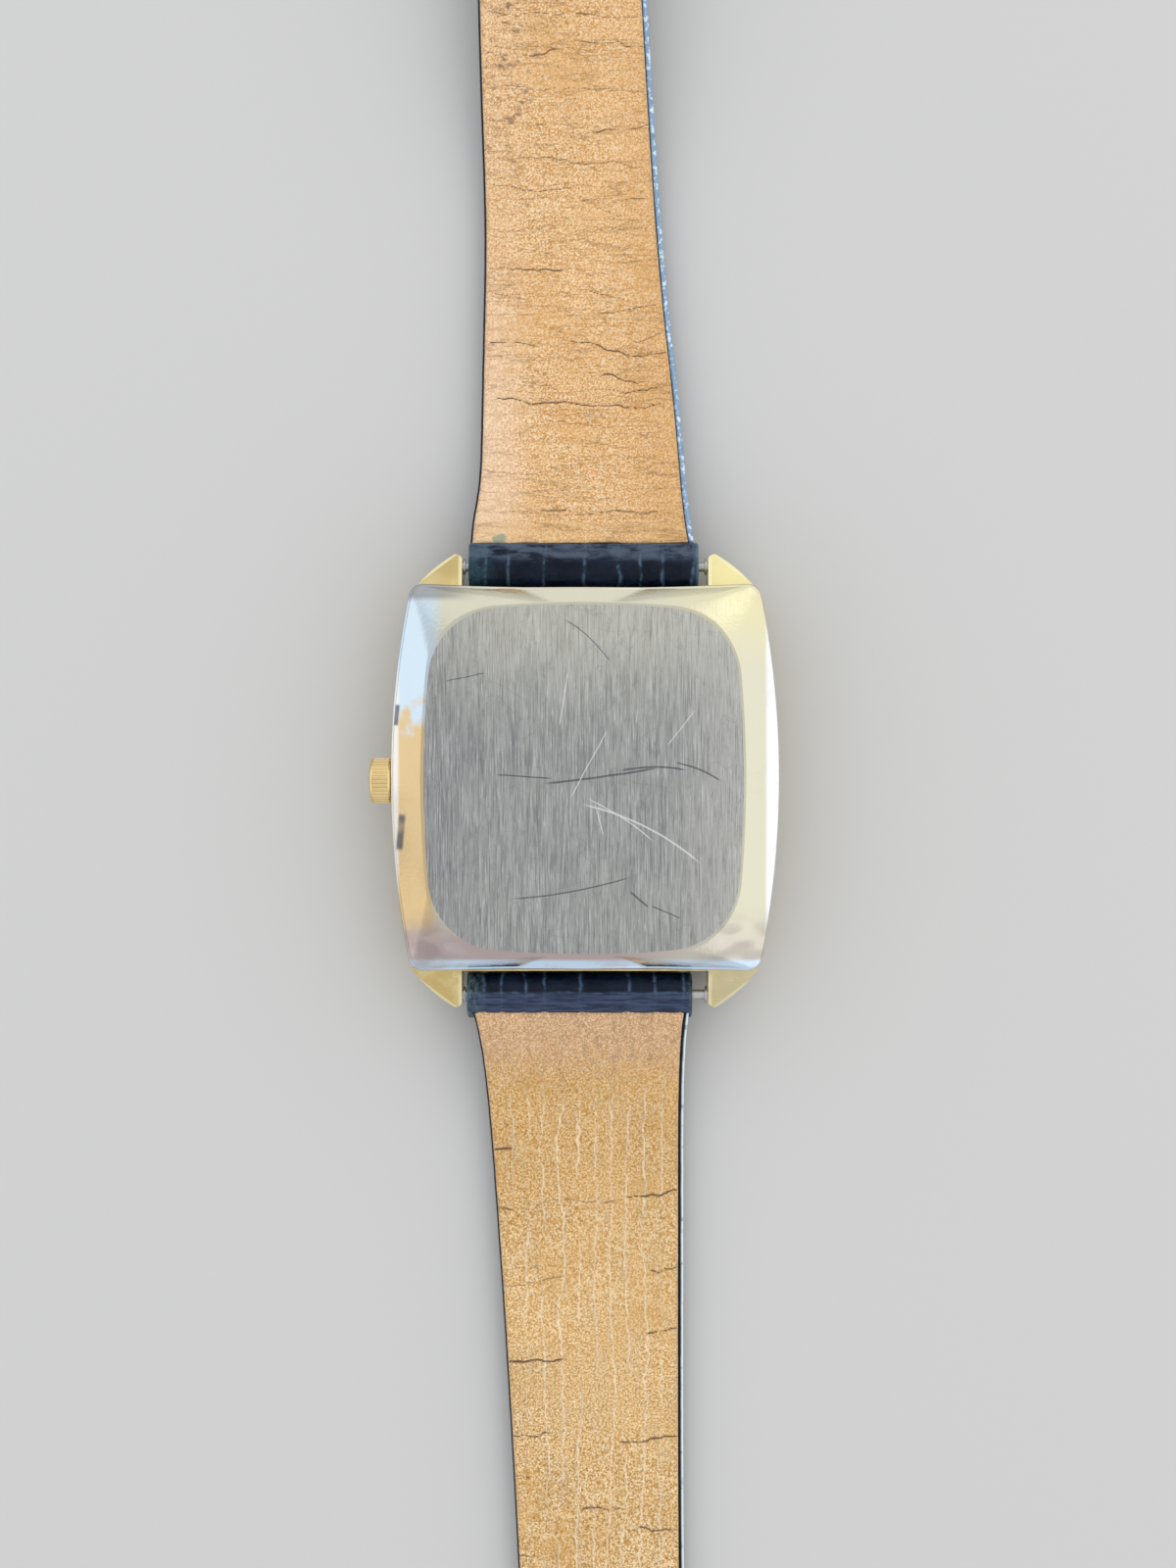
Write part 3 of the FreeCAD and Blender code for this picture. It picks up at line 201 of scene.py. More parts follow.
# ---------------------------------------------------------------- node helpers
class Nodes:
    """A short way to build a material's node tree."""

    def __init__(self, name, metallic=0.0, roughness=0.5, colour=None):
        self.material = bpy.data.materials.new(name)
        self.material.use_nodes = True
        self.tree = self.material.node_tree
        self.shader = self.tree.nodes["Principled BSDF"]
        self.shader.inputs["Metallic"].default_value = metallic
        self.shader.inputs["Roughness"].default_value = roughness
        if colour:
            self.shader.inputs["Base Color"].default_value = (*colour, 1.0)
        self.coords = self.tree.nodes.new("ShaderNodeTexCoord").outputs["Object"]
        self.colour = None

    def node(self, kind, **settings):
        made = self.tree.nodes.new(kind)
        for key, value in settings.items():
            setattr(made, key, value)
        return made

    def link(self, out, into):
        if hasattr(out, "is_output"):
            self.tree.links.new(out, into)
        else:
            into.default_value = out

    def mul(self, a, b):
        return self.math("MULTIPLY", a, b)

    def add(self, a, b):
        return self.math("ADD", a, b)

    def sub(self, a, b):
        return self.math("SUBTRACT", a, b)

    def most(self, masks):
        """The greatest of several masks."""
        total = masks[0]
        for mask in masks[1:]:
            total = self.greater(total, mask)
        return total

    def greater(self, a, b):
        return self.math("MAXIMUM", a, b)

    def abs(self, a):
        return self.math("ABSOLUTE", a)

    def lay(self, colour, mask, amount=None):
        """Lays a colour over the base colour so far, where the mask is above 0."""
        if amount is not None:
            mask = self.mul(mask, amount)
        self.colour = self.mix(mask, self.colour, colour)

    def shift(self, scale=(1, 1, 1), rotate=(0, 0, 0), move=(0, 0, 0), source=None):
        made = self.node("ShaderNodeMapping")
        made.inputs["Scale"].default_value = scale
        made.inputs["Rotation"].default_value = [math.radians(a) for a in rotate]
        made.inputs["Location"].default_value = move
        self.link(source or self.coords, made.inputs["Vector"])
        return made.outputs[0]

    def noise(self, scale, vector=None, detail=4.0, rough=0.55, warp=0.0):
        """scale is in cells per millimetre."""
        made = self.node("ShaderNodeTexNoise")
        self.link(vector or self.coords, made.inputs["Vector"])
        made.inputs["Scale"].default_value = scale / MM
        made.inputs["Detail"].default_value = detail
        made.inputs["Roughness"].default_value = rough
        made.inputs["Distortion"].default_value = warp
        return made.outputs["Fac"]

    def cells(self, scale, vector=None, feature="F1", random=1.0):
        made = self.node("ShaderNodeTexVoronoi", feature=feature)
        self.link(vector or self.coords, made.inputs["Vector"])
        made.inputs["Scale"].default_value = scale / MM
        made.inputs["Randomness"].default_value = random
        return made.outputs["Distance"]

    def attribute(self, name):
        return self.node("ShaderNodeAttribute", attribute_name=name).outputs["Fac"]

    def ramp(self, value, low, high, out_low=0.0, out_high=1.0, smooth=True):
        made = self.node("ShaderNodeMapRange", interpolation_type="SMOOTHSTEP" if smooth else "LINEAR")
        self.link(value, made.inputs["Value"])
        for key, number in (("From Min", low), ("From Max", high), ("To Min", out_low), ("To Max", out_high)):
            made.inputs[key].default_value = number
        return made.outputs["Result"]

    def math(self, kind, a, b=0.0):
        made = self.node("ShaderNodeMath", operation=kind)
        self.link(a, made.inputs[0])
        self.link(b, made.inputs[1])
        return made.outputs[0]

    def mix(self, factor, a, b):
        made = self.node("ShaderNodeMix", data_type="RGBA")
        self.link(factor, made.inputs["Factor"])
        for value, socket in ((a, made.inputs[6]), (b, made.inputs[7])):
            if hasattr(value, "is_output"):
                self.link(value, socket)
            else:
                socket.default_value = (*value, 1.0)
        return made.outputs[2]

    def axes(self, vector=None):
        made = self.node("ShaderNodeSeparateXYZ")
        self.link(vector or self.coords, made.inputs[0])
        return made.outputs

    def bump(self, height, distance):
        """distance is in millimetres."""
        made = self.node("ShaderNodeBump")
        self.link(height, made.inputs["Height"])
        made.inputs["Distance"].default_value = distance * MM
        made.inputs["Strength"].default_value = 1.0
        return made.outputs[0]

    def finish(self, rough, normal=None):
        """Joins the colour laid so far, the roughness and the bump to the shader."""
        for value, name in ((self.colour, "Base Color"), (rough, "Roughness"), (normal, "Normal")):
            if value is not None:
                self.link(value, self.shader.inputs[name])
        return self.material

    def scratch(self, centre, angle, length, width, wobble=0.0, seed=0.0, bow=0.0):
        """A line across the XY plane, bowed by some millimetres: 1 on the line, 0 off it."""
        moved = self.shift(move=(-centre[0] * MM, -centre[1] * MM, 0))
        local = self.shift(source=moved, rotate=(0, 0, -angle))
        x, y, _ = self.axes(local)
        if wobble:
            wave = self.noise(0.12, self.shift(source=local, move=(seed, 0, 0), scale=(1, 0, 0)), detail=3.0)
            y = self.add(y, self.ramp(wave, 0.0, 1.0, -wobble * MM, wobble * MM, smooth=False))
        if bow:
            along = self.math("DIVIDE", x, length * MM / 2)
            sag = self.mul(self.sub(1.0, self.mul(along, along)), bow * MM)
            y = self.sub(y, sag)
        off = self.abs(y)
        line = self.ramp(off, width * MM * 0.4, width * MM, 1.0, 0.0)
        ends = self.ramp(self.abs(x), length * MM * 0.38, length * MM * 0.5, 1.0, 0.0)
        return self.mul(line, ends)


# ---------------------------------------------------------------- case back
# Outlines are half width, half height, the bow of the sides, top and bottom, and the corner radius.
PLATEAU = (13.85, 15.1, 1.0, 0.9, 0.9, 6.5)
PLATEAU_CENTRE = np.array([-0.12, 0.12])
BACK = (16.65, 16.6, 1.75, -0.35, -0.2, 1.3)
BACK_CENTRE = np.array([0.0, 0.3])
BACK_RIM_Z = 6.45
PLATEAU_EDGE_Z = 7.985
PLATEAU_Z = 8.0
SKIRT_Z = 4.97
SEAT_Z = 5.93
BORDER_SLOPE = 0.42


def shrink(outline, inset):
    """The outline's points, drawn in by the inset."""
    half_w, half_h, side, top, bottom, corner = outline
    return cushion(half_w - inset, half_h - inset, side, top, bottom, max(corner - inset, 0.3))


def at_height(loop, z):
    return np.column_stack([loop, np.full(len(loop), z)])


def border_material():
    """Polished steel: soft patches of painted reflection laid by position (warm on the right and top, cool
    blue and gold on the left, pinkish grey along the bottom), painted highlights along its rims, painted dark
    reflections at its corners, hairline scratches, smears and small marks.
    """
    n = Nodes("polished_steel", metallic=1.0, roughness=0.16, colour=(0.64, 0.62, 0.52))
    smear = n.noise(0.22, detail=5.0)
    fine = n.noise(3.0, detail=3.0)
    ragged = n.noise(0.55, detail=5.0)
    hairs = n.noise(1.0, n.shift(scale=(9.0, 0.35, 1.0), rotate=(0, 0, 24)), detail=2.0)
    crossing = n.noise(1.0, n.shift(scale=(8.0, 0.3, 1.0), rotate=(0, 0, -38)), detail=2.0)
    marks = n.greater(n.ramp(hairs, 0.66, 0.72), n.ramp(crossing, 0.68, 0.74))
    x, y, _ = n.axes()
    y_ragged = n.add(y, n.ramp(ragged, 0.3, 0.7, -0.0022, 0.0022, smooth=False))
    # Painted reflection: the steel a little lighter and warmer towards the right.
    n.colour = n.mix(n.ramp(x, 0.002, 0.014), (0.64, 0.615, 0.485), (0.665, 0.645, 0.51))
    # Painted reflection: warm yellow at the top right.
    top_right_reflection = n.mul(n.ramp(x, 0.004, 0.014), n.ramp(y, 0.009, 0.015))
    n.lay((0.72, 0.675, 0.43), top_right_reflection)
    # Painted reflections on the left side: pale blue-white above, gold over the middle and lower part.
    left = n.ramp(x, -0.0118, -0.0134)
    n.lay((0.57, 0.67, 0.74), left)
    gold_reflection = n.mul(left, n.ramp(y_ragged, 0.0062, 0.0036))
    n.lay((0.66, 0.49, 0.265), gold_reflection)
    # Painted dark reflection: greyer along the bottom and pinkish grey towards the lower left.
    low = n.ramp(y, -0.0118, -0.0140)
    left_low = n.mul(low, n.ramp(x, 0.010, 0.002))
    n.lay((0.60, 0.565, 0.50), low, 0.75)
    n.lay((0.46, 0.365, 0.36), left_low, 0.85)
    # Painted highlight: a blue-white band along the bottom rim.
    rim_bottom_highlight = n.mul(n.ramp(y, -0.0151, -0.0155), n.ramp(ragged, 0.30, 0.50, 0.7, 1.0))
    n.lay((0.60, 0.74, 0.90), rim_bottom_highlight)
    # Painted dark reflection in the top-left corner.
    corner = n.mul(n.ramp(x, -0.0085, -0.0125), n.ramp(y, 0.0152, 0.0158))
    n.lay((0.27, 0.26, 0.25), corner, 0.75)
    # Painted highlights: a pale line along the left outer edge and a bright one along the right.
    pale_edge_highlight = n.ramp(x, -0.0158, -0.0161)
    n.lay((0.80, 0.79, 0.75), pale_edge_highlight, 0.8)
    right_edge_highlight = n.ramp(x, 0.0153, 0.0157)
    n.lay((0.84, 0.86, 0.88), n.mul(right_edge_highlight, n.ramp(ragged, 0.32, 0.50, 0.75, 1.0)))
    # Painted reflections at the lower corners: dark pinkish swirls with pale streaks between them.
    reflection_swirl = n.noise(0.26, n.shift(scale=(1.0, 2.2, 1.0), rotate=(0, 0, 38)), detail=1.0)
    lower_corner_reflection = n.mul(n.ramp(y, -0.0105, -0.0135), n.ramp(n.abs(x), 0.0085, 0.0120))
    n.lay((0.26, 0.215, 0.225), n.mul(lower_corner_reflection, n.ramp(reflection_swirl, 0.46, 0.62, 0.0, 0.38)))
    n.lay((0.70, 0.66, 0.66), n.mul(lower_corner_reflection, n.ramp(reflection_swirl, 0.44, 0.34, 0.0, 0.25)))
    spot_low = n.scratch((-15.75, -4.4), 85, 3.4, 0.42)
    spot_mid = n.scratch((-16.1, 5.6), 85, 2.0, 0.26)
    spots = n.mul(n.greater(spot_low, spot_mid), n.ramp(n.noise(0.32, detail=1.0), 0.30, 0.50, 0.45, 1.0))
    n.lay((0.09, 0.10, 0.12), spots, 0.85)
    n.lay((0.54, 0.51, 0.47), n.ramp(smear, 0.58, 0.76, 0.0, 0.35))
    rough = n.add(n.ramp(smear, 0.35, 0.7, 0.13, 0.23), n.mul(marks, 0.10))
    normal = n.bump(n.add(n.ramp(fine, 0.3, 0.7), n.mul(marks, -0.5)), 0.003)
    return n.finish(rough, normal)


def plateau_material():
    """Steel brushed along Y: fine bright and dark lines, dull clouds and the scratches of long wear."""
    n = Nodes("brushed_steel_back", metallic=1.0, roughness=0.38, colour=(0.60, 0.60, 0.58))
    n.shader.inputs["Anisotropic"].default_value = 0.3
    wide = n.noise(1.0, n.shift(scale=(2.4, 0.16, 1.0), move=(1.3, 0, 0)), detail=5.0, rough=0.65)
    brush = n.noise(1.0, n.shift(scale=(13.0, 0.20, 1.0)), detail=4.0, rough=0.75)
    dash = n.noise(1.0, n.shift(scale=(17.0, 0.45, 1.0), move=(0.003, 0.002, 0)), detail=3.0, rough=0.6)
    cloud = n.noise(0.10, detail=4.0)
    mottle = n.noise(1.1, n.shift(scale=(1.0, 0.6, 1.0)), detail=5.0, rough=0.65)
    x, y, _ = n.axes()
    n.colour = n.mix(n.ramp(wide, 0.36, 0.64), (0.275, 0.285, 0.28), (0.415, 0.42, 0.405))
    n.lay((0.41, 0.405, 0.38), n.ramp(cloud, 0.4, 0.7, 0.0, 0.45))
    # Painted reflection: the brushed face lighter and warmer towards the top and the right, darker towards the
    # left.
    n.lay((0.58, 0.57, 0.49), n.ramp(y, 0.003, 0.0145, 0.0, 0.75))
    n.lay((0.285, 0.29, 0.295), n.ramp(x, -0.007, -0.0135, 0.0, 0.45))
    n.lay((0.54, 0.53, 0.495), n.ramp(x, 0.006, 0.0132, 0.0, 0.65))
    streak = n.ramp(brush, 0.30, 0.72)
    n.lay((0.66, 0.67, 0.655), n.ramp(brush, 0.51, 0.64, 0.0, 0.55))
    n.lay((0.145, 0.15, 0.16), n.ramp(brush, 0.48, 0.36, 0.0, 0.62))
    n.lay((0.74, 0.76, 0.74), n.ramp(dash, 0.58, 0.66, 0.0, 0.60))
    n.lay((0.12, 0.125, 0.13), n.ramp(dash, 0.41, 0.34, 0.0, 0.50))
    n.lay((0.185, 0.195, 0.20), n.ramp(mottle, 0.56, 0.70, 0.0, 0.30))
    dark_lines = [n.scratch((1.4, 0.45), 8, 10.4, 0.13, 0.22, 0.004, -0.15),
                  n.scratch((5.8, 0.85), 1, 6.0, 0.12, 0.2, 0.009, 0.30),
                  n.scratch((9.6, 0.75), -22, 4.4, 0.11, 0.15, 0.013, 0.25),
                  n.scratch((-5.2, 0.3), -4, 5.0, 0.09, 0.3, 0.02),
                  n.scratch((-1.2, -9.1), 10, 10.8, 0.09, 0.12, 0.017, -0.35),
                  n.scratch((4.6, -10.1), -40, 2.2, 0.12, 0.1, 0.03),
                  n.scratch((6.9, -11.2), -24, 2.8, 0.08, 0.15, 0.05),
                  n.scratch((0.2, 11.9), -42, 5.6, 0.07, 0.25, 0.045, 0.3),
                  n.scratch((-10.2, 8.8), 12, 3.6, 0.07, 0.2, 0.06)]
    pale_lines = [n.scratch((4.8, -4.6), -27, 11.8, 0.10, 0.12, 0.017, 0.75),
                  n.scratch((3.0, -3.4), -33, 7.0, 0.06, 0.1, 0.025, 0.3),
                  n.scratch((0.3, 1.4), 62, 7.0, 0.05, 0.2, 0.01),
                  n.scratch((1.2, -3.3), -75, 3.0, 0.05, 0.15, 0.033),
                  n.scratch((-1.8, 7.0), 80, 5.0, 0.05, 0.2, 0.05),
                  n.scratch((8.2, 4.5), 52, 4.0, 0.045, 0.15, 0.06)]
    dark = n.most(dark_lines)
    pale = n.most(pale_lines)
    webbing = n.abs(n.sub(n.noise(0.16, detail=2.5, warp=0.6), 0.5))
    webbing = n.ramp(webbing, 0.0, 0.005, 0.22, 0.0)
    n.lay((0.19, 0.20, 0.21), webbing)
    n.lay((0.05, 0.055, 0.065), dark, 0.66)
    n.lay((0.86, 0.88, 0.90), pale, 0.62)
    rough = n.add(n.ramp(streak, 0.0, 1.0, 0.34, 0.44), n.mul(pale, 0.1))
    height = n.sub(n.mul(brush, 0.6), n.greater(dark, pale))
    return n.finish(rough, n.bump(height, 0.010))


def make_back():
    """The case back: hollow inside, a skirt and seat below, a sloping border and a brushed plateau."""
    rings = []
    cavity = cushion(12.85, 13.45, 0.9, 0.5, 0.5, 5.25)
    skirt = cushion(13.52, 14.12, 0.9, 0.5, 0.5, 5.92)
    for step in (0.03, 0.35, 0.7, 1.0):
        rings.append(at_height(cavity * step, 7.0))
    rings.append(at_height(cavity, SKIRT_Z))
    rings.append(at_height(skirt, SKIRT_Z))
    rings.append(at_height(skirt, SEAT_Z))
    rounding = 0.22
    outer = shrink(BACK, rounding) + BACK_CENTRE
    rings.append(at_height(outer, SEAT_Z))
    rings.append(at_height(shrink(BACK, 0.04) + BACK_CENTRE, SEAT_Z + 0.10))
    inner = cushion(*PLATEAU) + PLATEAU_CENTRE
    run = np.hypot(*(outer - inner).T)
    deepest = PLATEAU_EDGE_Z - BACK_RIM_Z - 0.42
    edge_z = PLATEAU_EDGE_Z - np.minimum(deepest, BORDER_SLOPE * run)
    rim_z = edge_z - rounding
    for z in (6.12, 6.28, rim_z):
        rings.append(at_height(shrink(BACK, 0.0) + BACK_CENTRE, z))
    for step in range(1, 9):
        angle = math.pi / 2 * step / 9
        rings.append(at_height(shrink(BACK, rounding * (1 - math.cos(angle))) + BACK_CENTRE,
                               rim_z + rounding * math.sin(angle)))
    for step in range(0, 31):
        s = step / 30
        height = edge_z + (PLATEAU_EDGE_Z - edge_z) * (1.10 * s - 0.10 * s * s)
        rings.append(at_height(outer * (1 - s) + inner * s, height))
    for inset, z in ((0.05, 7.987), (0.10, 7.990), (0.17, 7.995), (0.22, 7.999)):
        rings.append(at_height(shrink(PLATEAU, inset) + PLATEAU_CENTRE, z))
    border_rings = len(rings)
    face_edge = shrink(PLATEAU, 0.26)
    for step in range(40):
        rings.append(at_height(face_edge * (1 - step / 40) + PLATEAU_CENTRE, PLATEAU_Z))
    count = len(inner)
    piece = add_mesh("steel_case_back", rings, capped_faces(len(rings), count), "case", border_material(),
                     ("case_back",))
    piece.data.materials.append(plateau_material())
    first = (border_rings - 1) * count
    picks = [1 if i >= first and len(p.vertices) == 4 else 0 for i, p in enumerate(piece.data.polygons)]
    picks[-1] = 1
    piece.data.polygons.foreach_set("material_index", picks)
    sharpen(piece, 40)


# ---------------------------------------------------------------- strap shape
def strap_bottom(u, end):
    """Height of the outer leather: down a slope from the bar, through a bend, then flat on the floor."""
    slope = math.radians(14.0)
    bend_start = BEND_END - BEND_R * math.sin(slope)
    u = np.asarray(u, float)
    line = BEND_R * (1 - math.cos(slope)) + (bend_start - u) * math.tan(slope)
    bend = BEND_R - np.sqrt(np.maximum(BEND_R ** 2 - (BEND_END - u) ** 2, 0))
    z = np.where(u < bend_start, line, np.where(u < BEND_END, bend, 0.0))
    if end == 12:
        z = z + KEEPER_CLIMB * smooth_step((u - 30.0) / 22.0)
    return z


def strap_thickness(u):
    u = np.asarray(u, float)
    return 2.0 + 0.55 * np.exp(-u / 22.0) + 1.45 * np.exp(-(u / 7.0) ** 2)


def strap_half_width(u):
    u = np.asarray(u, float)
    return 7.0 + 2.25 * np.maximum(1 - u / 74.0, 0.0) ** 1.8 + 0.75 * np.exp(-np.maximum(u, 0) / 3.0)


def edge_shift(u, end, sign):
    """How far each edge of the worn strap wanders sideways from its regular taper."""
    run = max(u, 0.0)
    if end == 6:
        return -0.8 * math.exp(-run / 17.0) if sign > 0 else -0.15 * math.exp(-run / 2.0)
    if sign < 0:
        return 0.24 * math.exp(-((u - 29.0) / 10.0) ** 2) - 0.34 * math.exp(-((u - 3.5) / 3.0) ** 2)
    return 0.30 * math.exp(-((u - 13.0) / 8.5) ** 2) - 0.25 * math.exp(-run / 3.0)


def strap_span(u, end, inset_left, inset_right):
    """Middle and half width of the strap at a station, with its edges drawn in by the insets."""
    half = strap_half_width(u)
    if end == 6:
        left = min(max((LENGTH[6] - inset_left - u) / 7.0, 0.0), 1.0)
        half = half * math.sqrt(min(max(1 - (1 - left) ** 2.3, 0.0), 1.0))
    x0 = LEAN[end] * u - half + edge_shift(u, end, -1) + inset_left
    x1 = LEAN[end] * u + half + edge_shift(u, end, 1) - inset_right
    return (x0 + x1) / 2, max((x1 - x0) / 2, 0.3)


def place(rings, end):
    """Rings of strap points in (x, u, z) moved to the watch's frame."""
    return [ring * (1, SIDE[end], 1) + (0, SIDE[end] * BAR_Y, 0) for ring in rings]


# ---------------------------------------------------------------- leather relief
def lattice_noise(x, y, seed):
    """Smooth noise from -1 to 1 with one cell per unit; the same seed always gives the same field."""
    table = np.random.default_rng(seed).uniform(-1, 1, (128, 128))
    x = np.asarray(x, float)
    y = np.asarray(y, float)
    ix = np.floor(x).astype(int)
    iy = np.floor(y).astype(int)
    fx = smooth_step(x - ix)
    fy = smooth_step(y - iy)
    low = table[ix % 128, iy % 128] * (1 - fx) + table[(ix + 1) % 128, iy % 128] * fx
    high = table[ix % 128, (iy + 1) % 128] * (1 - fx) + table[(ix + 1) % 128, (iy + 1) % 128] * fx
    return low * (1 - fy) + high * fy


def between(t, low, high):
    """0 below low, 1 above high, and a soft step between them."""
    return smooth_step((t - low) / (high - low))


def stroke(x, u, x0, x1, u0, u1, width, seed, wave=0.32):
    """A wavy line across the strap, from (x0, u0) to (x1, u1), fading at its ends."""
    t = np.clip((x - x0) / (x1 - x0), 0, 1)
    path = u0 + (u1 - u0) * t + wave * lattice_noise(x * 0.45, x * 0 + seed, seed)
    path = path + 0.13 * lattice_noise(x * 1.7, x * 0 + seed, seed + 50)
    reach = (x - x0) / (x1 - x0)
    ends = between(reach, -0.02, 0.10) * between(1.0 - reach, -0.02, 0.14)
    breadth = width * (0.75 + 0.5 * lattice_noise(x * 0.9, x * 0 + 3, seed + 9))
    return np.exp(-((u - path) / np.maximum(breadth, 0.03)) ** 2) * ends


def ruled(phase, pitch, width):
    """Row numbers of evenly ruled lines, and a mask that is 1 on each line."""
    row = np.floor(phase)
    off = np.abs(phase - row - 0.5) * pitch
    return row, np.exp(-(off / width) ** 2)


# Creases pressed across the 12 o'clock lining: x from, x to, u at each end, strength.
CREASES_12 = [
    (-8.2, 8.7, 4.9, 4.6, 0.75), (-8.6, 8.2, 6.0, 5.7, 0.45), (-9.2, -4.1, 8.5, 8.2, 0.6),
    (4.7, 8.1, 8.8, 9.2, 0.55), (-8.7, 7.7, 14.9, 14.3, 1.0), (-8.7, -2.5, 15.9, 15.4, 0.5),
    (3.1, 7.6, 15.5, 16.0, 0.8), (1.2, 4.9, 16.9, 16.4, 0.95), (3.5, 7.4, 18.4, 18.9, 0.75),
    (-1.6, 4.2, 20.0, 19.0, 0.85), (-8.6, -4.0, 20.3, 19.8, 0.7), (4.2, 7.3, 20.1, 20.5, 0.7),
    (1.0, 7.1, 22.3, 23.0, 0.8), (-0.2, 4.4, 24.7, 23.7, 0.7), (-8.6, -5.2, 24.6, 23.8, 0.55),
    (-8.7, -1.4, 26.7, 26.0, 0.85), (2.4, 6.8, 27.2, 27.5, 0.6), (-8.7, 6.7, 29.8, 29.5, 0.5),
    (-2.0, 6.5, 32.0, 32.4, 0.6), (-8.8, -0.5, 33.6, 33.2, 0.7), (-8.8, 6.3, 36.1, 35.4, 0.6),
    (0.5, 6.2, 38.2, 38.6, 0.75), (-8.9, -3.0, 39.0, 38.6, 0.6), (-8.9, 6.0, 41.8, 41.2, 0.55),
    (-9.0, -2.0, 44.4, 44.8, 0.8), (-1.0, 5.7, 45.8, 45.2, 0.6), (-9.0, 5.6, 48.1, 47.6, 0.7),
    (-9.1, 5.4, 51.4, 51.0, 0.7), (-9.2, 5.0, 56.2, 55.8, 0.6), (-9.3, 4.8, 62.8, 62.4, 0.7)]
# Cracks in the 6 o'clock lining, which run in from its edges.
CRACKS_6 = [
    (-7.9, -6.2, 13.9, 13.6, 1.0), (3.4, 8.2, 18.1, 17.3, 1.0), (-5.0, 3.4, 18.5, 18.1, 0.6),
    (-7.6, -6.2, 18.7, 18.8, 0.8), (5.6, 8.2, 24.3, 24.0, 0.9), (-6.8, -1.4, 25.8, 24.8, 0.55),
    (5.2, 8.4, 30.0, 29.6, 0.9), (-6.9, -1.4, 32.9, 32.3, 1.0), (-6.8, -3.0, 39.0, 38.5, 0.95),
    (2.6, 8.5, 39.4, 38.8, 0.9), (-6.6, -4.6, 42.7, 42.5, 0.7), (-0.5, 3.4, 45.5, 45.2, 0.75),
    (4.4, 8.7, 47.3, 47.0, 0.8), (-6.5, -3.6, 49.6, 49.3, 0.8), (3.0, 8.8, 54.0, 53.5, 0.8),
    (-6.3, 0.6, 60.2, 59.6, 0.7), (2.2, 8.9, 66.7, 66.2, 0.7), (-6.0, -2.0, 72.8, 72.6, 0.7),
    (3.8, 9.2, 80.3, 79.6, 0.6)]


def lining_relief(x, u, end):
    """Height in millimetres and the masks that colour it, for points on a lining's face."""
    height = 0.03 * lattice_noise(x * 0.35, u * 0.30, 11) + 0.018 * lattice_noise(x * 1.1, u * 1.0, 12)
    crease = np.zeros_like(x)
    crack = np.zeros_like(x)
    ridge = np.zeros_like(x)
    if end == 12:
        warp = 0.60 * lattice_noise(x * 0.16, u * 0.22, 21) + 0.26 * lattice_noise(x * 0.55, u * 0.6, 22)
        warp = warp + 0.10 * lattice_noise(x * 1.8, u * 1.8, 23)
        for pitch, seed, fine, sway, depth in ((1.25, 31, 0.095, 1.0, 0.75), (0.62, 32, 0.07, 0.7, 0.42)):
            row, line = ruled((u + warp * sway + 0.03 * x + seed) / pitch, pitch, fine)
            there = between(lattice_noise(x * 0.30 + row * 3.1, row * 7.7, seed), 0.02, 0.55)
            crease = np.maximum(crease, line * there * depth)
        for seed, (x0, x1, u0, u1, strength) in enumerate(CREASES_12):
            crack = np.maximum(crack, strength * stroke(x, u, x0, x1, u0, u1, 0.07, 100 + seed))
    else:
        sway = 0.42 * lattice_noise(u * 0.14, x * 0.28, 41) + 0.20 * lattice_noise(u * 0.5, x * 0.6, 42)
        sway = sway + 0.12 * lattice_noise(u * 1.3, x * 1.2, 48) + 0.09 * lattice_noise(u * 3.1, x * 2.2, 49)
        for pitch, seed, fine, share, rise in ((1.45, 43, 0.085, 1.0, 0.95), (0.62, 44, 0.05, 0.8, 0.45)):
            row, line = ruled((x + sway * share + seed * 0.37) / pitch, pitch, fine)
            there = between(lattice_noise(u * 0.16 + row * 5.3, row * 9.1, seed), -0.75, -0.05)
            ridge = np.maximum(ridge, line * there * rise)
        from_edge = strap_half_width(u) - np.abs(x - LEAN[6] * u)
        ridge = ridge * between(u, 5.5, 11.0) * between(from_edge, 0.5, 2.4)
        groove = np.exp(-((np.mod(x + sway, 1.55) - 1.0) / 0.16) ** 2) * between(-u, -11.0, -4.0)
        crease = 0.55 * groove * between(lattice_noise(u * 0.5, x * 0.7, 45), -0.2, 0.6)
        row, faint = ruled((u + 0.3 * lattice_noise(x * 0.3, u * 0.2, 46)) / 2.1, 2.1, 0.06)
        there = between(lattice_noise(x * 0.28 + row * 2.3, row * 4.7, 47), 0.25, 0.7)
        crease = np.maximum(crease, 0.5 * faint * there)
        for seed, (x0, x1, u0, u1, strength) in enumerate(CRACKS_6):
            x0 = x0 - 0.9 if x0 < -4.9 else x0
            x1 = x1 + 0.9 if x1 > 7.0 else x1
            crack = np.maximum(crack, strength * stroke(x, u, x0, x1, u0, u1, 0.085, 200 + seed))
    height = height - 0.07 * crease - 0.16 * crack + 0.085 * ridge
    return height, crease, crack, ridge


def paint(piece, masks):
    """Stores masks, one number per vertex in a row per ring, for the piece's material to read."""
    for name, rows in masks.items():
        layer = piece.data.attributes.new(name, "FLOAT", "POINT")
        layer.data.foreach_set("value", np.concatenate(rows).astype(np.float32))


# How far the lining stays in from the strap's left and right edge.
LINING_INSETS = {12: (0.18, 0.52), 6: (0.15, 0.46)}


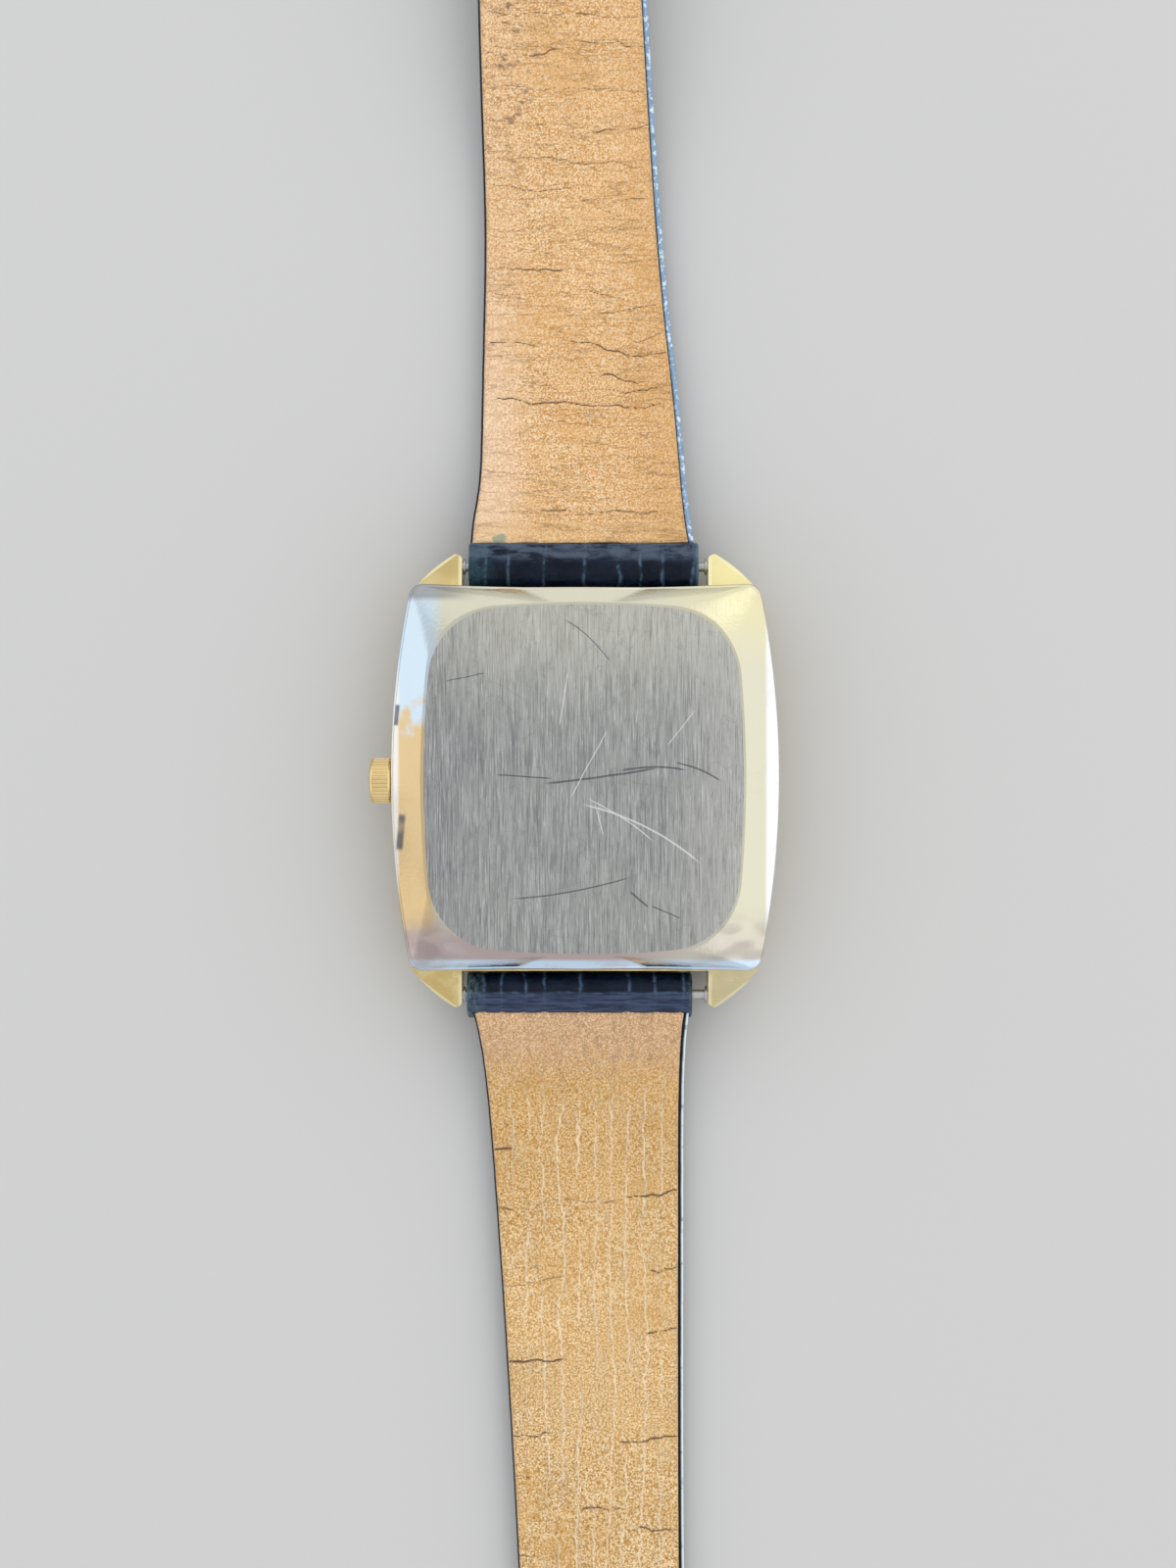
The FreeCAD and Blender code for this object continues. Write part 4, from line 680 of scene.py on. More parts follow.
def make_lining(end):
    """The tan inner leather of one strap half, which lies in the outer leather's tray."""
    left_inset, right_inset = LINING_INSETS[end]
    start = LINING_START[end]
    stop = LENGTH[end] - 3.0 if end == 12 else LENGTH[end] - 0.4
    stations = np.concatenate([np.arange(start, 50.0, 0.10), np.arange(50.0, stop, 0.26)])
    across = 138
    rings = []
    masks = {"crease": [], "crack": [], "ridge": [], "edge": []}
    side = np.linspace(0.12, 1.0, 5)
    thick = 0.72
    lane = np.linspace(-1, 1, across)
    for u in stations:
        middle, half = strap_span(float(u), end, left_inset, right_inset)
        top = float(strap_bottom(u, end) + strap_thickness(u))
        x = middle + half * lane
        height, crease, crack, ridge = lining_relief(x, np.full(across, u), end)
        from_edge = half * (1 - np.abs(lane))
        from_start = u - start
        roll = 0.16 * (1 - between(from_edge, 0.0, 0.35)) + 0.14 * (1 - between(from_start, 0.0, 0.3))
        lift = 0.05 * between(from_start, 0.0, 0.5) * (1 - between(from_start, 0.9, 2.0))
        ragged = 0.10 * lattice_noise(x * 0.8, x * 0, 71) * (1 - between(from_start, 0.0, 1.2))
        z = top + (height + lift) * between(from_edge, 0.0, 0.25) - roll - 0.03
        face = points_at(x, u + ragged, z)
        wall_z = top - 0.2 - side * thick
        right = points_at(x[-1] + 0.03 * (1 - side), u + ragged[-1], wall_z)
        left = points_at(x[0] - 0.03 * (1 - side), u + ragged[0], wall_z)
        under = points_at(np.linspace(x[-1], x[0], 9)[1:-1], u, top - 0.2 - thick)
        rings.append(np.concatenate([face, right, under, left[::-1]]))
        hidden = np.zeros(len(right) + len(under) + len(left))
        # Painted highlight: the face paler near its edges and its start; the cut sides take the same pale.
        edge_highlight = 1 - between(np.minimum(from_edge, from_start + 0.1), 0.0, 0.4)
        for name, shown in (("crease", crease), ("crack", crack), ("ridge", ridge), ("edge", edge_highlight)):
            masks[name].append(np.concatenate([shown, hidden + (name == "edge")]))
    faces = capped_faces(len(rings), len(rings[0]))
    piece = add_mesh("strap_%d_lining_leather" % end, place(rings, end), faces, "strap_%d" % end,
                     lining_material(end), ("strap_%d_lining" % end,))
    paint(piece, masks)
    return piece


def lining_material(end):
    """Worn calf lining: fibrous speckle, wandering fine creases and dark cracks with painted shade in them,
    pale ridges, and a painted highlight along its edges.
    """
    n = Nodes("tan_lining_%d" % end, roughness=0.62, colour=(0.60, 0.36, 0.16))
    n.shader.inputs["Specular IOR Level"].default_value = 0.35
    x, y, _ = n.axes()
    stretch = (1.0, 1.3, 1.0) if end == 12 else (1.3, 1.0, 1.0)
    fibre = n.noise(3.8, n.shift(scale=stretch), detail=6.0, rough=0.75, warp=0.9)
    speck = n.noise(6.2, n.shift(move=(0.01, 0, 0)), detail=4.0, rough=0.65)
    cloud = n.noise(0.16, detail=5.0, rough=0.6)
    broad = n.noise(0.055, n.shift(move=(0.02, 0, 0)), detail=3.0)
    if end == 12:
        pale, light = (1.0, 0.83, 0.60), (0.92, 0.58, 0.27)
        mid, deep = (0.74, 0.395, 0.125), (0.49, 0.22, 0.05)
    else:
        pale, light = (1.0, 0.87, 0.62), (0.88, 0.57, 0.24)
        mid, deep = (0.62, 0.33, 0.08), (0.33, 0.145, 0.02)
    n.colour = n.mix(n.ramp(fibre, 0.44, 0.57), mid, light)
    n.lay(deep, n.ramp(fibre, 0.47, 0.35, 0.0, 0.85))
    n.lay(pale, n.ramp(speck, 0.51, 0.59, 0.0, 0.85))
    n.lay(deep, n.ramp(speck, 0.47, 0.40, 0.0, 0.75))
    n.lay(mid, n.ramp(cloud, 0.46, 0.68, 0.0, 0.35))
    n.lay(light, n.ramp(broad, 0.45, 0.62, 0.0, 0.20))
    if end == 12:
        flow, other, tight = (0.085, 0.62, 1.0), (0.16, 1.05, 1.0), 0.008
    else:
        flow, other, tight = (0.55, 0.055, 1.0), (1.0, 0.11, 1.0), 0.012
    veins = n.abs(n.sub(n.noise(1.0, n.shift(scale=flow), detail=5.0, rough=0.6), 0.5))
    veins = n.ramp(veins, 0.0, tight, 1.0, 0.0)
    more = n.noise(1.0, n.shift(scale=other, move=(0.05, 0.02, 0)), detail=4.0, rough=0.55)
    more = n.abs(n.sub(more, 0.47))
    more = n.ramp(more, 0.0, tight, 1.0, 0.0)
    patchy = n.ramp(n.noise(0.30, n.shift(move=(0.07, 0, 0)), detail=3.0), 0.42, 0.58)
    fine = n.greater(n.mul(veins, n.ramp(cloud, 0.36, 0.52)), n.mul(more, patchy))
    if end == 6:
        near = n.ramp(y, -0.0272, -0.0222)
        pink = n.mix(n.ramp(fibre, 0.40, 0.60), (0.62, 0.37, 0.21), (0.84, 0.56, 0.36))
        pink = n.mix(n.ramp(speck, 0.50, 0.59, 0.0, 0.85), pink, (1.0, 0.80, 0.62))
        pink = n.mix(n.ramp(speck, 0.47, 0.40, 0.0, 0.70), pink, (0.42, 0.22, 0.12))
        n.lay(pink, near, 0.9)
        upper = n.ramp(y, -0.046, -0.030, 0.0, 0.30)
        n.lay((0.56, 0.29, 0.06), upper)
        n.lay((0.96, 0.80, 0.56), fine, 0.34)
        shade = n.mul(near, n.mul(veins, 0.55))
        n.lay((0.34, 0.18, 0.09), shade)
    else:
        pale_side = n.mul(n.ramp(x, -0.0035, -0.0085), n.ramp(y, 0.050, 0.030, 0.3, 1.0))
        n.lay((1.0, 0.78, 0.60), pale_side, 0.45)
        warm_side = n.ramp(x, 0.001, 0.008, 0.0, 0.38)
        n.lay((0.66, 0.345, 0.11), warm_side)
        n.lay((0.40, 0.18, 0.07), fine, 0.22)
        stain_a = n.mul(n.ramp(y, 0.051, 0.058), n.ramp(x, -0.0015, -0.0065))
        blotch = n.noise(1.1, n.shift(scale=(0.8, 1.2, 1.0)), detail=6.0, rough=0.7)
        stain = n.mul(stain_a, n.ramp(blotch, 0.55, 0.63))
        n.lay((0.13, 0.08, 0.07), stain, 0.62)
        dx = n.sub(x, -0.0074)
        dy = n.sub(y, 0.0208)
        spot = n.math("SQRT", n.add(n.mul(dx, dx), n.mul(dy, dy)))
        spot = n.add(spot, n.ramp(n.noise(1.6), 0.0, 1.0, -0.0006, 0.0006, smooth=False))
        n.lay((0.06, 0.30, 0.29), n.ramp(spot, 0.00072, 0.00036, 0.0, 0.85))
        band = n.ramp(y, 0.0226, 0.0221)
        n.lay((0.72, 0.46, 0.20), band, 0.35)
    crease = n.attribute("crease")
    crack = n.attribute("crack")
    ridge = n.attribute("ridge")
    edge = n.attribute("edge")
    # Painted shade in the creases.
    n.lay((0.38, 0.18, 0.07), crease, 0.42)
    broken = n.ramp(n.noise(2.2, detail=4.0), 0.34, 0.50, 0.62, 1.0)
    n.lay((1.0, 0.85, 0.62), n.mul(n.ramp(ridge, 0.20, 0.85, 0.0, 0.70), broken))
    # Painted shade inside the cracks: near-black along the crack mask.
    inside = (0.15, 0.07, 0.04) if end == 12 else (0.10, 0.055, 0.04)
    n.lay(inside, n.mul(n.ramp(crack, 0.16, 0.66, 0.0, 0.88), broken))
    # Painted highlight: paler along the lining's edges and its start.
    n.lay((0.80, 0.58, 0.36), n.ramp(edge, 0.55, 1.0, 0.0, 0.40))
    rough = n.ramp(fibre, 0.3, 0.7, 0.72, 0.52)
    grain = n.add(fibre, n.mul(speck, 0.7))
    grain = n.sub(grain, n.mul(fine, 0.6 if end == 12 else -0.5))
    return n.finish(rough, n.bump(grain, 0.060))


# ---------------------------------------------------------------- lizard leather
# Where the scales' edges run along the strap on the two loops.
SCALE_EDGES = {12: (-11.6, -8.5, -6.7, -3.45, -0.05, 2.9, 4.8, 6.75, 9.3, 11.0),
               6: (-11.4, -8.8, -7.2, -5.2, -3.6, -0.4, 3.7, 6.0, 8.5, 10.8)}
ROW_EDGES = {12: (-6.2, -3.9, -1.6, 1.25, 5.9), 6: (-6.0, -3.6, -1.2, 1.1, 3.40, 6.2)}
# The loop's outer radius and its sides.
LOOP_R = 2.0
LOOP_SPAN = {12: (-10.0, 9.75), 6: (-10.15, 9.2)}


def scales(x, s, end, loop=False):
    """Height in millimetres and groove mask of rectangular lizard scales; s runs along the strap."""
    if loop:
        across = np.array(SCALE_EDGES[end])
        along = np.array(ROW_EDGES[end])
        sway = 0.16 * lattice_noise(s * 0.7, x * 0.9, 301 + end) + 0.07 * lattice_noise(s * 2.2, x * 2.2, 303)
        dx = np.min(np.abs((x + sway)[..., None] - across), -1)
        rise = 0.14 * lattice_noise(x * 0.8, s * 0.5, 305 + end)
        ds = np.min(np.abs((s + rise)[..., None] - along), -1)
    else:
        wave = 0.22 * lattice_noise(x * 0.35, s * 0.35, 311) + 0.08 * lattice_noise(x * 1.5, s * 1.5, 312)
        phase = (s + wave) / 2.25
        row = np.floor(phase)
        ds = np.minimum(phase - row, row + 1 - phase) * 2.25
        lane = (x + wave + 0.55 * lattice_noise(row * 3.7, row * 1.9, 313)) / 3.0
        column = np.floor(lane)
        dx = np.minimum(lane - column, column + 1 - lane) * 3.0
    near = np.minimum(dx, ds * 1.1 + 0.03)
    groove = np.exp(-(near / 0.12) ** 2)
    pillow = 1 - np.exp(-(near / 0.42) ** 2)
    wrinkle = 0.012 * lattice_noise(x * 1.4, s * 5.0, 321) + 0.010 * lattice_noise(x * 4.0, s * 4.0, 322)
    return 0.085 * (pillow - 1) + wrinkle * pillow, groove


# The tray that the lining lies in: its points across, its depth under the strap's top, and where it
# ends towards the buckle. Below LOOP_EDGE the leather is only the strip under the loop.
TRAY_POINTS = 11
TRAY_DEPTH = 0.98
TRAY_END = 70.9
LOOP_EDGE = 1.2


def make_outer(end):
    """The navy outer leather of one strap half: scales below, a shallow tray that takes the lining above."""
    stop = 71.9 if end == 12 else LENGTH[6]
    stations = np.concatenate([np.arange(-0.48, stop - 0.15, 0.22), [stop - 0.1, stop]])
    below = 104
    rings = []
    masks = {"groove": [], "rim_highlight_right": [], "rim_highlight_left": []}
    start = LINING_START[end]
    lane = np.linspace(-1, 1, below)
    wall = np.linspace(0.08, 0.92, 5)
    swell = 0.05 * np.sin(np.pi * wall)
    rim_run = np.array([0.0, 0.05, 0.12, 0.19, 0.26, 0.31, 0.345])
    left_inset, right_inset = LINING_INSETS[end]
    left_run = rim_run * ((left_inset - 0.02) / 0.345)
    right_run = rim_run * ((right_inset - 0.03) / 0.345)
    rim_rise = np.array([-0.12, -0.045, 0.0, 0.01, -0.02, -0.09, -0.25])
    # Painted highlight along the strap's rims: how much each rim point takes, and below, how much each point
    # up the side wall takes.
    shine = {12: np.array([0.9, 1.0, 1.0, 1.0, 0.75, 0.25, 0.0]),
             6: np.array([1.0, 1.0, 0.55, 0.0, 0.0, 0.0, 0.0])}[end]
    wall_shine = np.linspace(0.1, 0.7, 5)
    rest = len(wall) * 2 + len(rim_run) * 2 + TRAY_POINTS
    for u in stations:
        middle, half = strap_span(float(u), end, 0.0, 0.0)
        low = float(strap_bottom(u, end))
        top = low + float(strap_thickness(u))
        x = middle + half * lane
        relief, groove = scales(x, np.full(below, u), end)
        from_edge = half - np.abs(x - middle)
        edge_round = 0.35 * (1 - np.sqrt(np.clip(1 - (1 - np.clip(from_edge / 0.45, 0, 1)) ** 2, 0, 1)))
        bottom = points_at(x, u, low + edge_round - relief * between(from_edge, 0.1, 0.6))
        if u < LOOP_EDGE:
            floor = rim = low + 0.65
        elif u < start - 0.05:
            floor = rim = top - TRAY_DEPTH
        else:
            floor = top - (TRAY_DEPTH if end == 6 or u < TRAY_END else 0.06)
            rim = top - 0.13
        bumpy = float(0.035 * lattice_noise(u * 1.3, 0.5, 331) + 0.02 * lattice_noise(u * 4.0, 0.5, 332))
        near_loop = 0.10 * math.exp(-u / 6.0) if end == 12 else 0.0
        wall_z = low + 0.35 + (rim - 0.14 - low - 0.35) * wall
        rise = rim_rise if rim > floor + 0.3 else np.zeros(7)
        tray = np.linspace(half - right_run[-1] - 0.01, -(half - left_run[-1] - 0.01), TRAY_POINTS)
        rings.append(np.concatenate([
            bottom,
            points_at(middle + half + swell * 0.6, u, wall_z),
            points_at(middle + half - right_run + bumpy * 0.4, u, rim + rise + bumpy + near_loop),
            points_at(middle + tray, u, floor),
            points_at(middle - half + left_run[::-1] + bumpy * 0.4, u, rim + rise[::-1] + bumpy),
            points_at(middle - half - swell[::-1] * 0.6, u, wall_z[::-1])]))
        masks["groove"].append(np.concatenate([groove, np.zeros(rest)]))
        masks["rim_highlight_right"].append(np.concatenate([np.zeros(below), wall_shine, shine, np.zeros(rest - 12)]))
        masks["rim_highlight_left"].append(np.concatenate([np.zeros(below + rest - 12), shine[::-1], wall_shine[::-1]]))
    faces = capped_faces(len(rings), len(rings[0]))
    piece = add_mesh("strap_%d_lizard" % end, place(rings, end), faces, "strap_%d" % end, lizard_material(end),
                     ("strap_%d_outer" % end, "strap_%d_core" % end))
    paint(piece, masks)
    return piece


def make_loop(end):
    """The leather tube round the spring bar, with the scales running over it."""
    around = 220
    lines = 300
    theta = np.linspace(0, 2 * np.pi, around, endpoint=False)
    start = LINING_START[end]
    lip_z = float(strap_bottom(start, end) + strap_thickness(start)) - BAR_Z - 0.06
    lip = math.atan2(lip_z, start)
    lip_r = math.hypot(start, lip_z)
    radius = np.full(around, LOOP_R)
    above = (theta >= lip) & (theta < math.pi)
    radius[above] = LOOP_R + (lip_r - LOOP_R) * np.exp(-((theta[above] - lip) / 0.30) ** 2)
    facing = theta < lip
    radius[facing] = np.maximum(LOOP_R, start / np.cos(theta[facing]))
    left, right = LOOP_SPAN[end]
    rim = np.array([0.0, 0.02, 0.08, 0.15])
    cut = np.array([0.20, 0.12, 0.045, 0.012])
    xs = np.concatenate([left + rim, np.linspace(left + 0.22, right - 0.22, lines), (right - rim)[::-1]])
    drop = np.concatenate([cut, np.zeros(lines), cut[::-1]])
    arc_run = theta * LOOP_R
    s = np.where(theta > np.pi * 1.25, arc_run - 2 * np.pi * LOOP_R, arc_run)
    rings = []
    grooves = []
    for x, fall in zip(xs, drop):
        relief, groove = scales(np.full(around, x), s, end, loop=True)
        reach = radius - fall + relief
        rings.append(points_at(x, reach * np.cos(theta), BAR_Z + reach * np.sin(theta)))
        grooves.append(groove)
    for x in (right - 0.01, right - 0.3, left + 0.3, left + 0.01):
        rings.append(points_at(x, np.cos(theta), BAR_Z + np.sin(theta)))
        grooves.append(np.zeros(around))
    faces = tube_faces(len(rings), around)
    piece = add_mesh("strap_%d_loop" % end, place(rings, end), faces, "strap_%d" % end, loop_material(end))
    paint(piece, {"groove": grooves})


def leather_base(n):
    """Glossy navy-black lizard: the colour and roughness shared by every piece of it."""
    n.shader.inputs["Specular IOR Level"].default_value = 0.14
    n.shader.inputs["Coat Weight"].default_value = 0.04
    n.shader.inputs["Coat Roughness"].default_value = 0.15
    cloud = n.noise(0.45, detail=4.0)
    pores = n.noise(7.0, detail=3.0)
    wear = n.noise(1.3, n.shift(scale=(1.6, 1.0, 1.0)), detail=6.0, rough=0.7)
    n.colour = n.mix(n.ramp(cloud, 0.38, 0.66), (0.001, 0.004, 0.012), (0.005, 0.011, 0.027))
    n.lay((0.022, 0.040, 0.078), n.ramp(wear, 0.58, 0.76, 0.0, 0.5))
    rough = n.ramp(n.add(cloud, n.mul(pores, 0.4)), 0.5, 0.95, 0.20, 0.36)
    return rough, pores, wear


def lizard_material(end):
    n = Nodes("navy_lizard_%d" % end, roughness=0.35, colour=(0.012, 0.018, 0.035))
    rough, pores, wear = leather_base(n)
    n.lay((0.070, 0.115, 0.185), n.attribute("groove"), 0.5)
    broken = n.ramp(n.noise(1.2, n.shift(scale=(0.6, 1.0, 1.0)), detail=3.0), 0.26, 0.44, 0.25, 1.0)
    if end == 12:
        # Painted highlights on the rims: a pale-blue glint along the right rim, a faint one along the left.
        right = n.mul(n.attribute("rim_highlight_right"), n.ramp(wear, 0.30, 0.50, 0.75, 1.0))
        sparkle = n.ramp(n.noise(2.6, detail=4.0), 0.50, 0.62)
        rim_highlight_colour = n.mix(sparkle, (0.26, 0.40, 0.58), (0.72, 0.86, 0.98))
        n.lay(rim_highlight_colour, right)
        left = n.mul(n.attribute("rim_highlight_left"), 0.10)
        n.lay((0.16, 0.13, 0.17), left)
    else:
        # Painted highlights on the rims: a pale blue-white line along the right rim, fainter along the left.
        right = n.mul(n.attribute("rim_highlight_right"), broken)
        n.lay((0.82, 0.93, 0.96), right)
        left = n.mul(n.attribute("rim_highlight_left"), n.mul(broken, 0.38))
        n.lay((0.30, 0.36, 0.42), left)
    return n.finish(rough, n.bump(n.add(pores, n.mul(wear, 1.5)), 0.02))


def loop_material(end):
    n = Nodes("navy_lizard_loop_%d" % end, roughness=0.3, colour=(0.012, 0.018, 0.035))
    rough, pores, wear = leather_base(n)
    x, y, _ = n.axes()
    lines = n.mul(n.attribute("groove"), n.ramp(n.noise(1.3, detail=4.0), 0.38, 0.60, 0.10, 0.80))
    n.lay((0.085, 0.150, 0.235), lines)
    if end == 12:
        patina = n.mul(n.ramp(x, -0.0072, -0.0094), n.ramp(wear, 0.36, 0.58, 0.25, 1.0))
        n.lay((0.038, 0.105, 0.135), patina, 0.55)
        # Painted reflections: a bluish sheen band on the strap side of the loop and a fainter one on its case
        # side.
        sheen = n.noise(1.0, n.shift(scale=(0.45, 1.5, 1.0)), detail=4.0, rough=0.6)
        band = n.mul(n.ramp(y, 0.0186, 0.0194), n.ramp(sheen, 0.36, 0.60))
        n.lay((0.085, 0.115, 0.165), band, 0.85)
        low_sheen_band = n.mul(n.ramp(y, 0.0176, 0.0170), n.ramp(sheen, 0.40, 0.60))
        n.lay((0.020, 0.040, 0.085), low_sheen_band, 0.30)
        # Painted highlight: pale blue on the loop's right end.
        right = n.ramp(x, 0.0093, 0.0099)
        n.lay((0.14, 0.24, 0.31), right, 0.75)
    else:
        band = n.ramp(y, -0.0180, -0.0185)
        streaks = n.noise(1.0, n.shift(scale=(0.5, 6.0, 1.0)), detail=4.0)
        band_colour = n.mix(n.ramp(streaks, 0.35, 0.65), (0.022, 0.032, 0.070), (0.062, 0.088, 0.160))
        n.lay(band_colour, band, 0.85)
        rough = n.add(rough, n.mul(band, 0.15))
        patina = n.mul(n.ramp(n.abs(x), 0.0084, 0.0097), n.ramp(wear, 0.38, 0.60))
        n.lay((0.10, 0.16, 0.17), patina, 0.7)
    return n.finish(rough, n.bump(n.add(pores, n.mul(wear, 2.0)), 0.025))


def make_prongs():
    """The two ends of the 12 o'clock half, rolled round the buckle bar either side of the tongue."""
    lean = LEAN[12] * LENGTH[12]
    count = 72
    theta = np.linspace(0, 2 * np.pi, count, endpoint=False)
    u0 = 71.86
    low = float(strap_bottom(u0, 12)) - BUCKLE_BAR_Z
    high = low + float(strap_thickness(u0)) - 0.08
    hole = np.column_stack([LENGTH[12] + 0.78 * np.cos(theta), BUCKLE_BAR_Z + 0.78 * np.sin(theta)])
    rim = []
    for angle in theta:
        c, s = math.cos(angle), math.sin(angle)
        reach = 1.5
        if c < -0.2:
            reach_back = (u0 - LENGTH[12]) / c
            wall = high / s if s > 0 else (low / s if s < 0 else 99.0)
            reach = max(1.5 if abs(s) > 0.7 else 0.0, min(reach_back, wall))
        rim.append((LENGTH[12] + reach * c, BUCKLE_BAR_Z + reach * s))
    rim = np.array(rim)
    middle = rim.mean(0)
    for side, x0, x1 in (("left", lean - 7.0, lean - 1.45), ("right", lean + 1.45, lean + 7.0)):
        rings = []
        for x, inset in ((x0, 0.12), (x0 + 0.05, 0.04), (x0 + 0.14, 0.0),
                         (x1 - 0.14, 0.0), (x1 - 0.05, 0.04), (x1, 0.12)):
            loop = middle + (rim - middle) * (1 - inset / 1.6)
            rings.append(points_at(x, loop[:, 0], loop[:, 1]))
        for x in (x1, x0):
            rings.append(points_at(x, hole[:, 0], hole[:, 1]))
        piece = add_mesh("strap_12_roll_" + side, place(rings, 12), tube_faces(len(rings), count), "strap_12",
                         keeper_material("rolled_end_" + side))
        sharpen(piece, 50)


def keeper_material(name):
    n = Nodes(name, roughness=0.34, colour=(0.012, 0.018, 0.035))
    rough, pores, wear = leather_base(n)
    edges = n.cells(0.42, n.shift(scale=(1.0, 1.25, 1.0)), feature="DISTANCE_TO_EDGE", random=0.35)
    groove = n.ramp(edges, 0.03, 0.12, 1.0, 0.0)
    n.lay((0.060, 0.100, 0.165), groove, 0.6)
    height = n.sub(n.add(n.mul(pores, 0.3), n.mul(wear, 0.3)), groove)
    return n.finish(rough, n.bump(height, 0.06))


def make_keeper(name, start, stop, clearance, body):
    """A leather band round the strap, its cross-section a soft-cornered strip."""
    middle_u = (start + stop) / 2
    cx = LEAN[12] * middle_u
    half = float(strap_half_width(start)) + 0.25 + 0.7 * clearance
    low = 0.8
    high = 3.2 + float(strap_thickness(start)) + clearance
    wall = 0.8
    per_side = 44
    outline = []
    for grow, corner in ((0.0, 0.25), (wall, 1.0)):
        w, z0, z1 = half + grow, low - grow, high + grow
        points = []
        for ox, oz, a0 in ((w, z0, -90), (w, z1, 0), (-w, z1, 90), (-w, z0, 180)):
            px = cx + (ox - math.copysign(corner, ox))
            pz = oz + (corner if oz == z0 else -corner)
            for k in range(9):
                a = math.radians(a0 + 90 * k / 8)
                points.append((px + corner * math.cos(a), pz + corner * math.sin(a)))
        points.append(points[0])
        points = np.array(points)
        run = np.concatenate([[0], np.cumsum(np.hypot(*np.diff(points, axis=0).T))])
        keys = []
        for corner_index in range(4):
            a, b = corner_index * 9, corner_index * 9 + 8
            keys += list(np.linspace(run[a], run[b], 9))
            keys += list(np.linspace(run[b], run[b + 1], per_side // 2 + 2)[1:-1])
        outline.append(np.column_stack([np.interp(keys, run, column) for column in points.T]))
    inner, outer = outline
    rim = ((0.0, 0.25), (0.06, 0.06), (0.2, 0.0))
    shoulder = ((0.0, 0.72), (0.06, 0.90), (0.2, 0.985))
    section = [(start + d, t) for d, t in rim] + [(stop - d, t) for d, t in rim[::-1]]
    section += [(stop - d, t) for d, t in shoulder]
    section += [(u, 1.0) for u in np.linspace(stop - 0.22, start + 0.22, 26)[1:-1]]
    section += [(start + d, t) for d, t in shoulder[::-1]]
    rings = []
    for u, t in section:
        loop = inner + (outer - inner) * t
        rings.append(points_at(loop[:, 0], u, loop[:, 1]))
    add_mesh(name + "_leather", place(rings, 12), tube_faces(len(rings), len(inner)), body,
             keeper_material(name + "_lizard"), (name,))


def punch(piece):
    """Cuts the row of buckle holes through a 6 o'clock piece."""
    cutters = []
    theta = np.linspace(0, 2 * np.pi, 48, endpoint=False)
    for u in HOLES:
        x, y = LEAN[6] * u + HOLE_R * np.cos(theta), -(BAR_Y + u) + HOLE_R * np.sin(theta)
        rod = np.concatenate([points_at(x, y, -1.0), points_at(x, y, 5.0)])
        cutters.append(closed_mesh("cutter", rod, capped_faces(2, 48)))
    joined = bpy.data.meshes.new("cutters")
    work = bmesh.new()
    for mesh in cutters:
        work.from_mesh(mesh)
    work.to_mesh(joined)
    work.free()
    tool = link_object("cutters", joined)
    cut = piece.modifiers.new("holes", "BOOLEAN")
    cut.operation = "DIFFERENCE"
    cut.solver = "MANIFOLD"
    cut.object = tool
    graph = bpy.context.evaluated_depsgraph_get()
    result = bpy.data.meshes.new_from_object(piece.evaluated_get(graph))
    piece.modifiers.clear()
    piece.data = result
    bpy.data.objects.remove(tool)
    for mesh in cutters + [joined]:
        bpy.data.meshes.remove(mesh)


# ---------------------------------------------------------------- metals, glass and stones
def gold_material():
    """Warm gold plate, polished and lightly worn, with painted highlights in soft streaks along the lug facet
    edges and painted lighter and darker reflections on the upper lugs.
    """
    n = Nodes("gold_plate", metallic=1.0, roughness=0.2, colour=(0.86, 0.65, 0.28))
    smear = n.noise(0.5, detail=5.0)
    fine = n.noise(6.0, detail=3.0)
    hairs = n.noise(1.0, n.shift(scale=(1.2, 9.0, 4.0), rotate=(0, 0, 31)), detail=2.0)
    marks = n.ramp(hairs, 0.64, 0.72)
    pale = n.ramp(smear, 0.42, 0.70)
    n.colour = n.mix(pale, (0.64, 0.48, 0.195), (0.76, 0.63, 0.33))
    x, y, _ = n.axes()
    # Painted highlight: brighter on the upper right lug.
    upper_right_lug_highlight = n.mul(n.ramp(x, 0.006, 0.013), n.ramp(y, 0.014, 0.018))
    n.lay((0.84, 0.76, 0.38), upper_right_lug_highlight)
    # Painted dark reflection: duller on the upper left lug.
    upper_left_lug_dark_reflection = n.mul(n.ramp(x, -0.006, -0.0125), n.ramp(y, 0.0160, 0.0185))
    n.lay((0.46, 0.37, 0.155), upper_left_lug_dark_reflection, 0.75)
    silver = n.mul(n.ramp(x, 0.006, 0.013), n.ramp(y, -0.014, -0.017))
    n.lay((0.64, 0.58, 0.37), silver, 0.8)
    # Painted highlights: pale strips along the lug facet edges.
    facet_highlights = []
    for side in (-1, 1):
        for end in (-1, 1):
            facet_highlights.append(n.scratch((side * 10.72, end * 18.2), 90, 3.4, 0.26))
            facet_highlights.append(n.scratch((side * 12.65, end * 18.45), -38 * side * end, 4.8, 0.22))
    n.lay((0.88, 0.82, 0.52), n.most(facet_highlights), 0.65)
    n.lay((0.82, 0.63, 0.31), n.ramp(x, -0.0164, -0.0168, 0.0, 0.8))
    n.lay((0.86, 0.78, 0.52), marks, 0.4)
    rough = n.add(n.ramp(smear, 0.3, 0.7, 0.16, 0.30), n.mul(marks, 0.12))
    return n.finish(rough, n.bump(n.add(fine, n.mul(marks, -0.7)), 0.006))


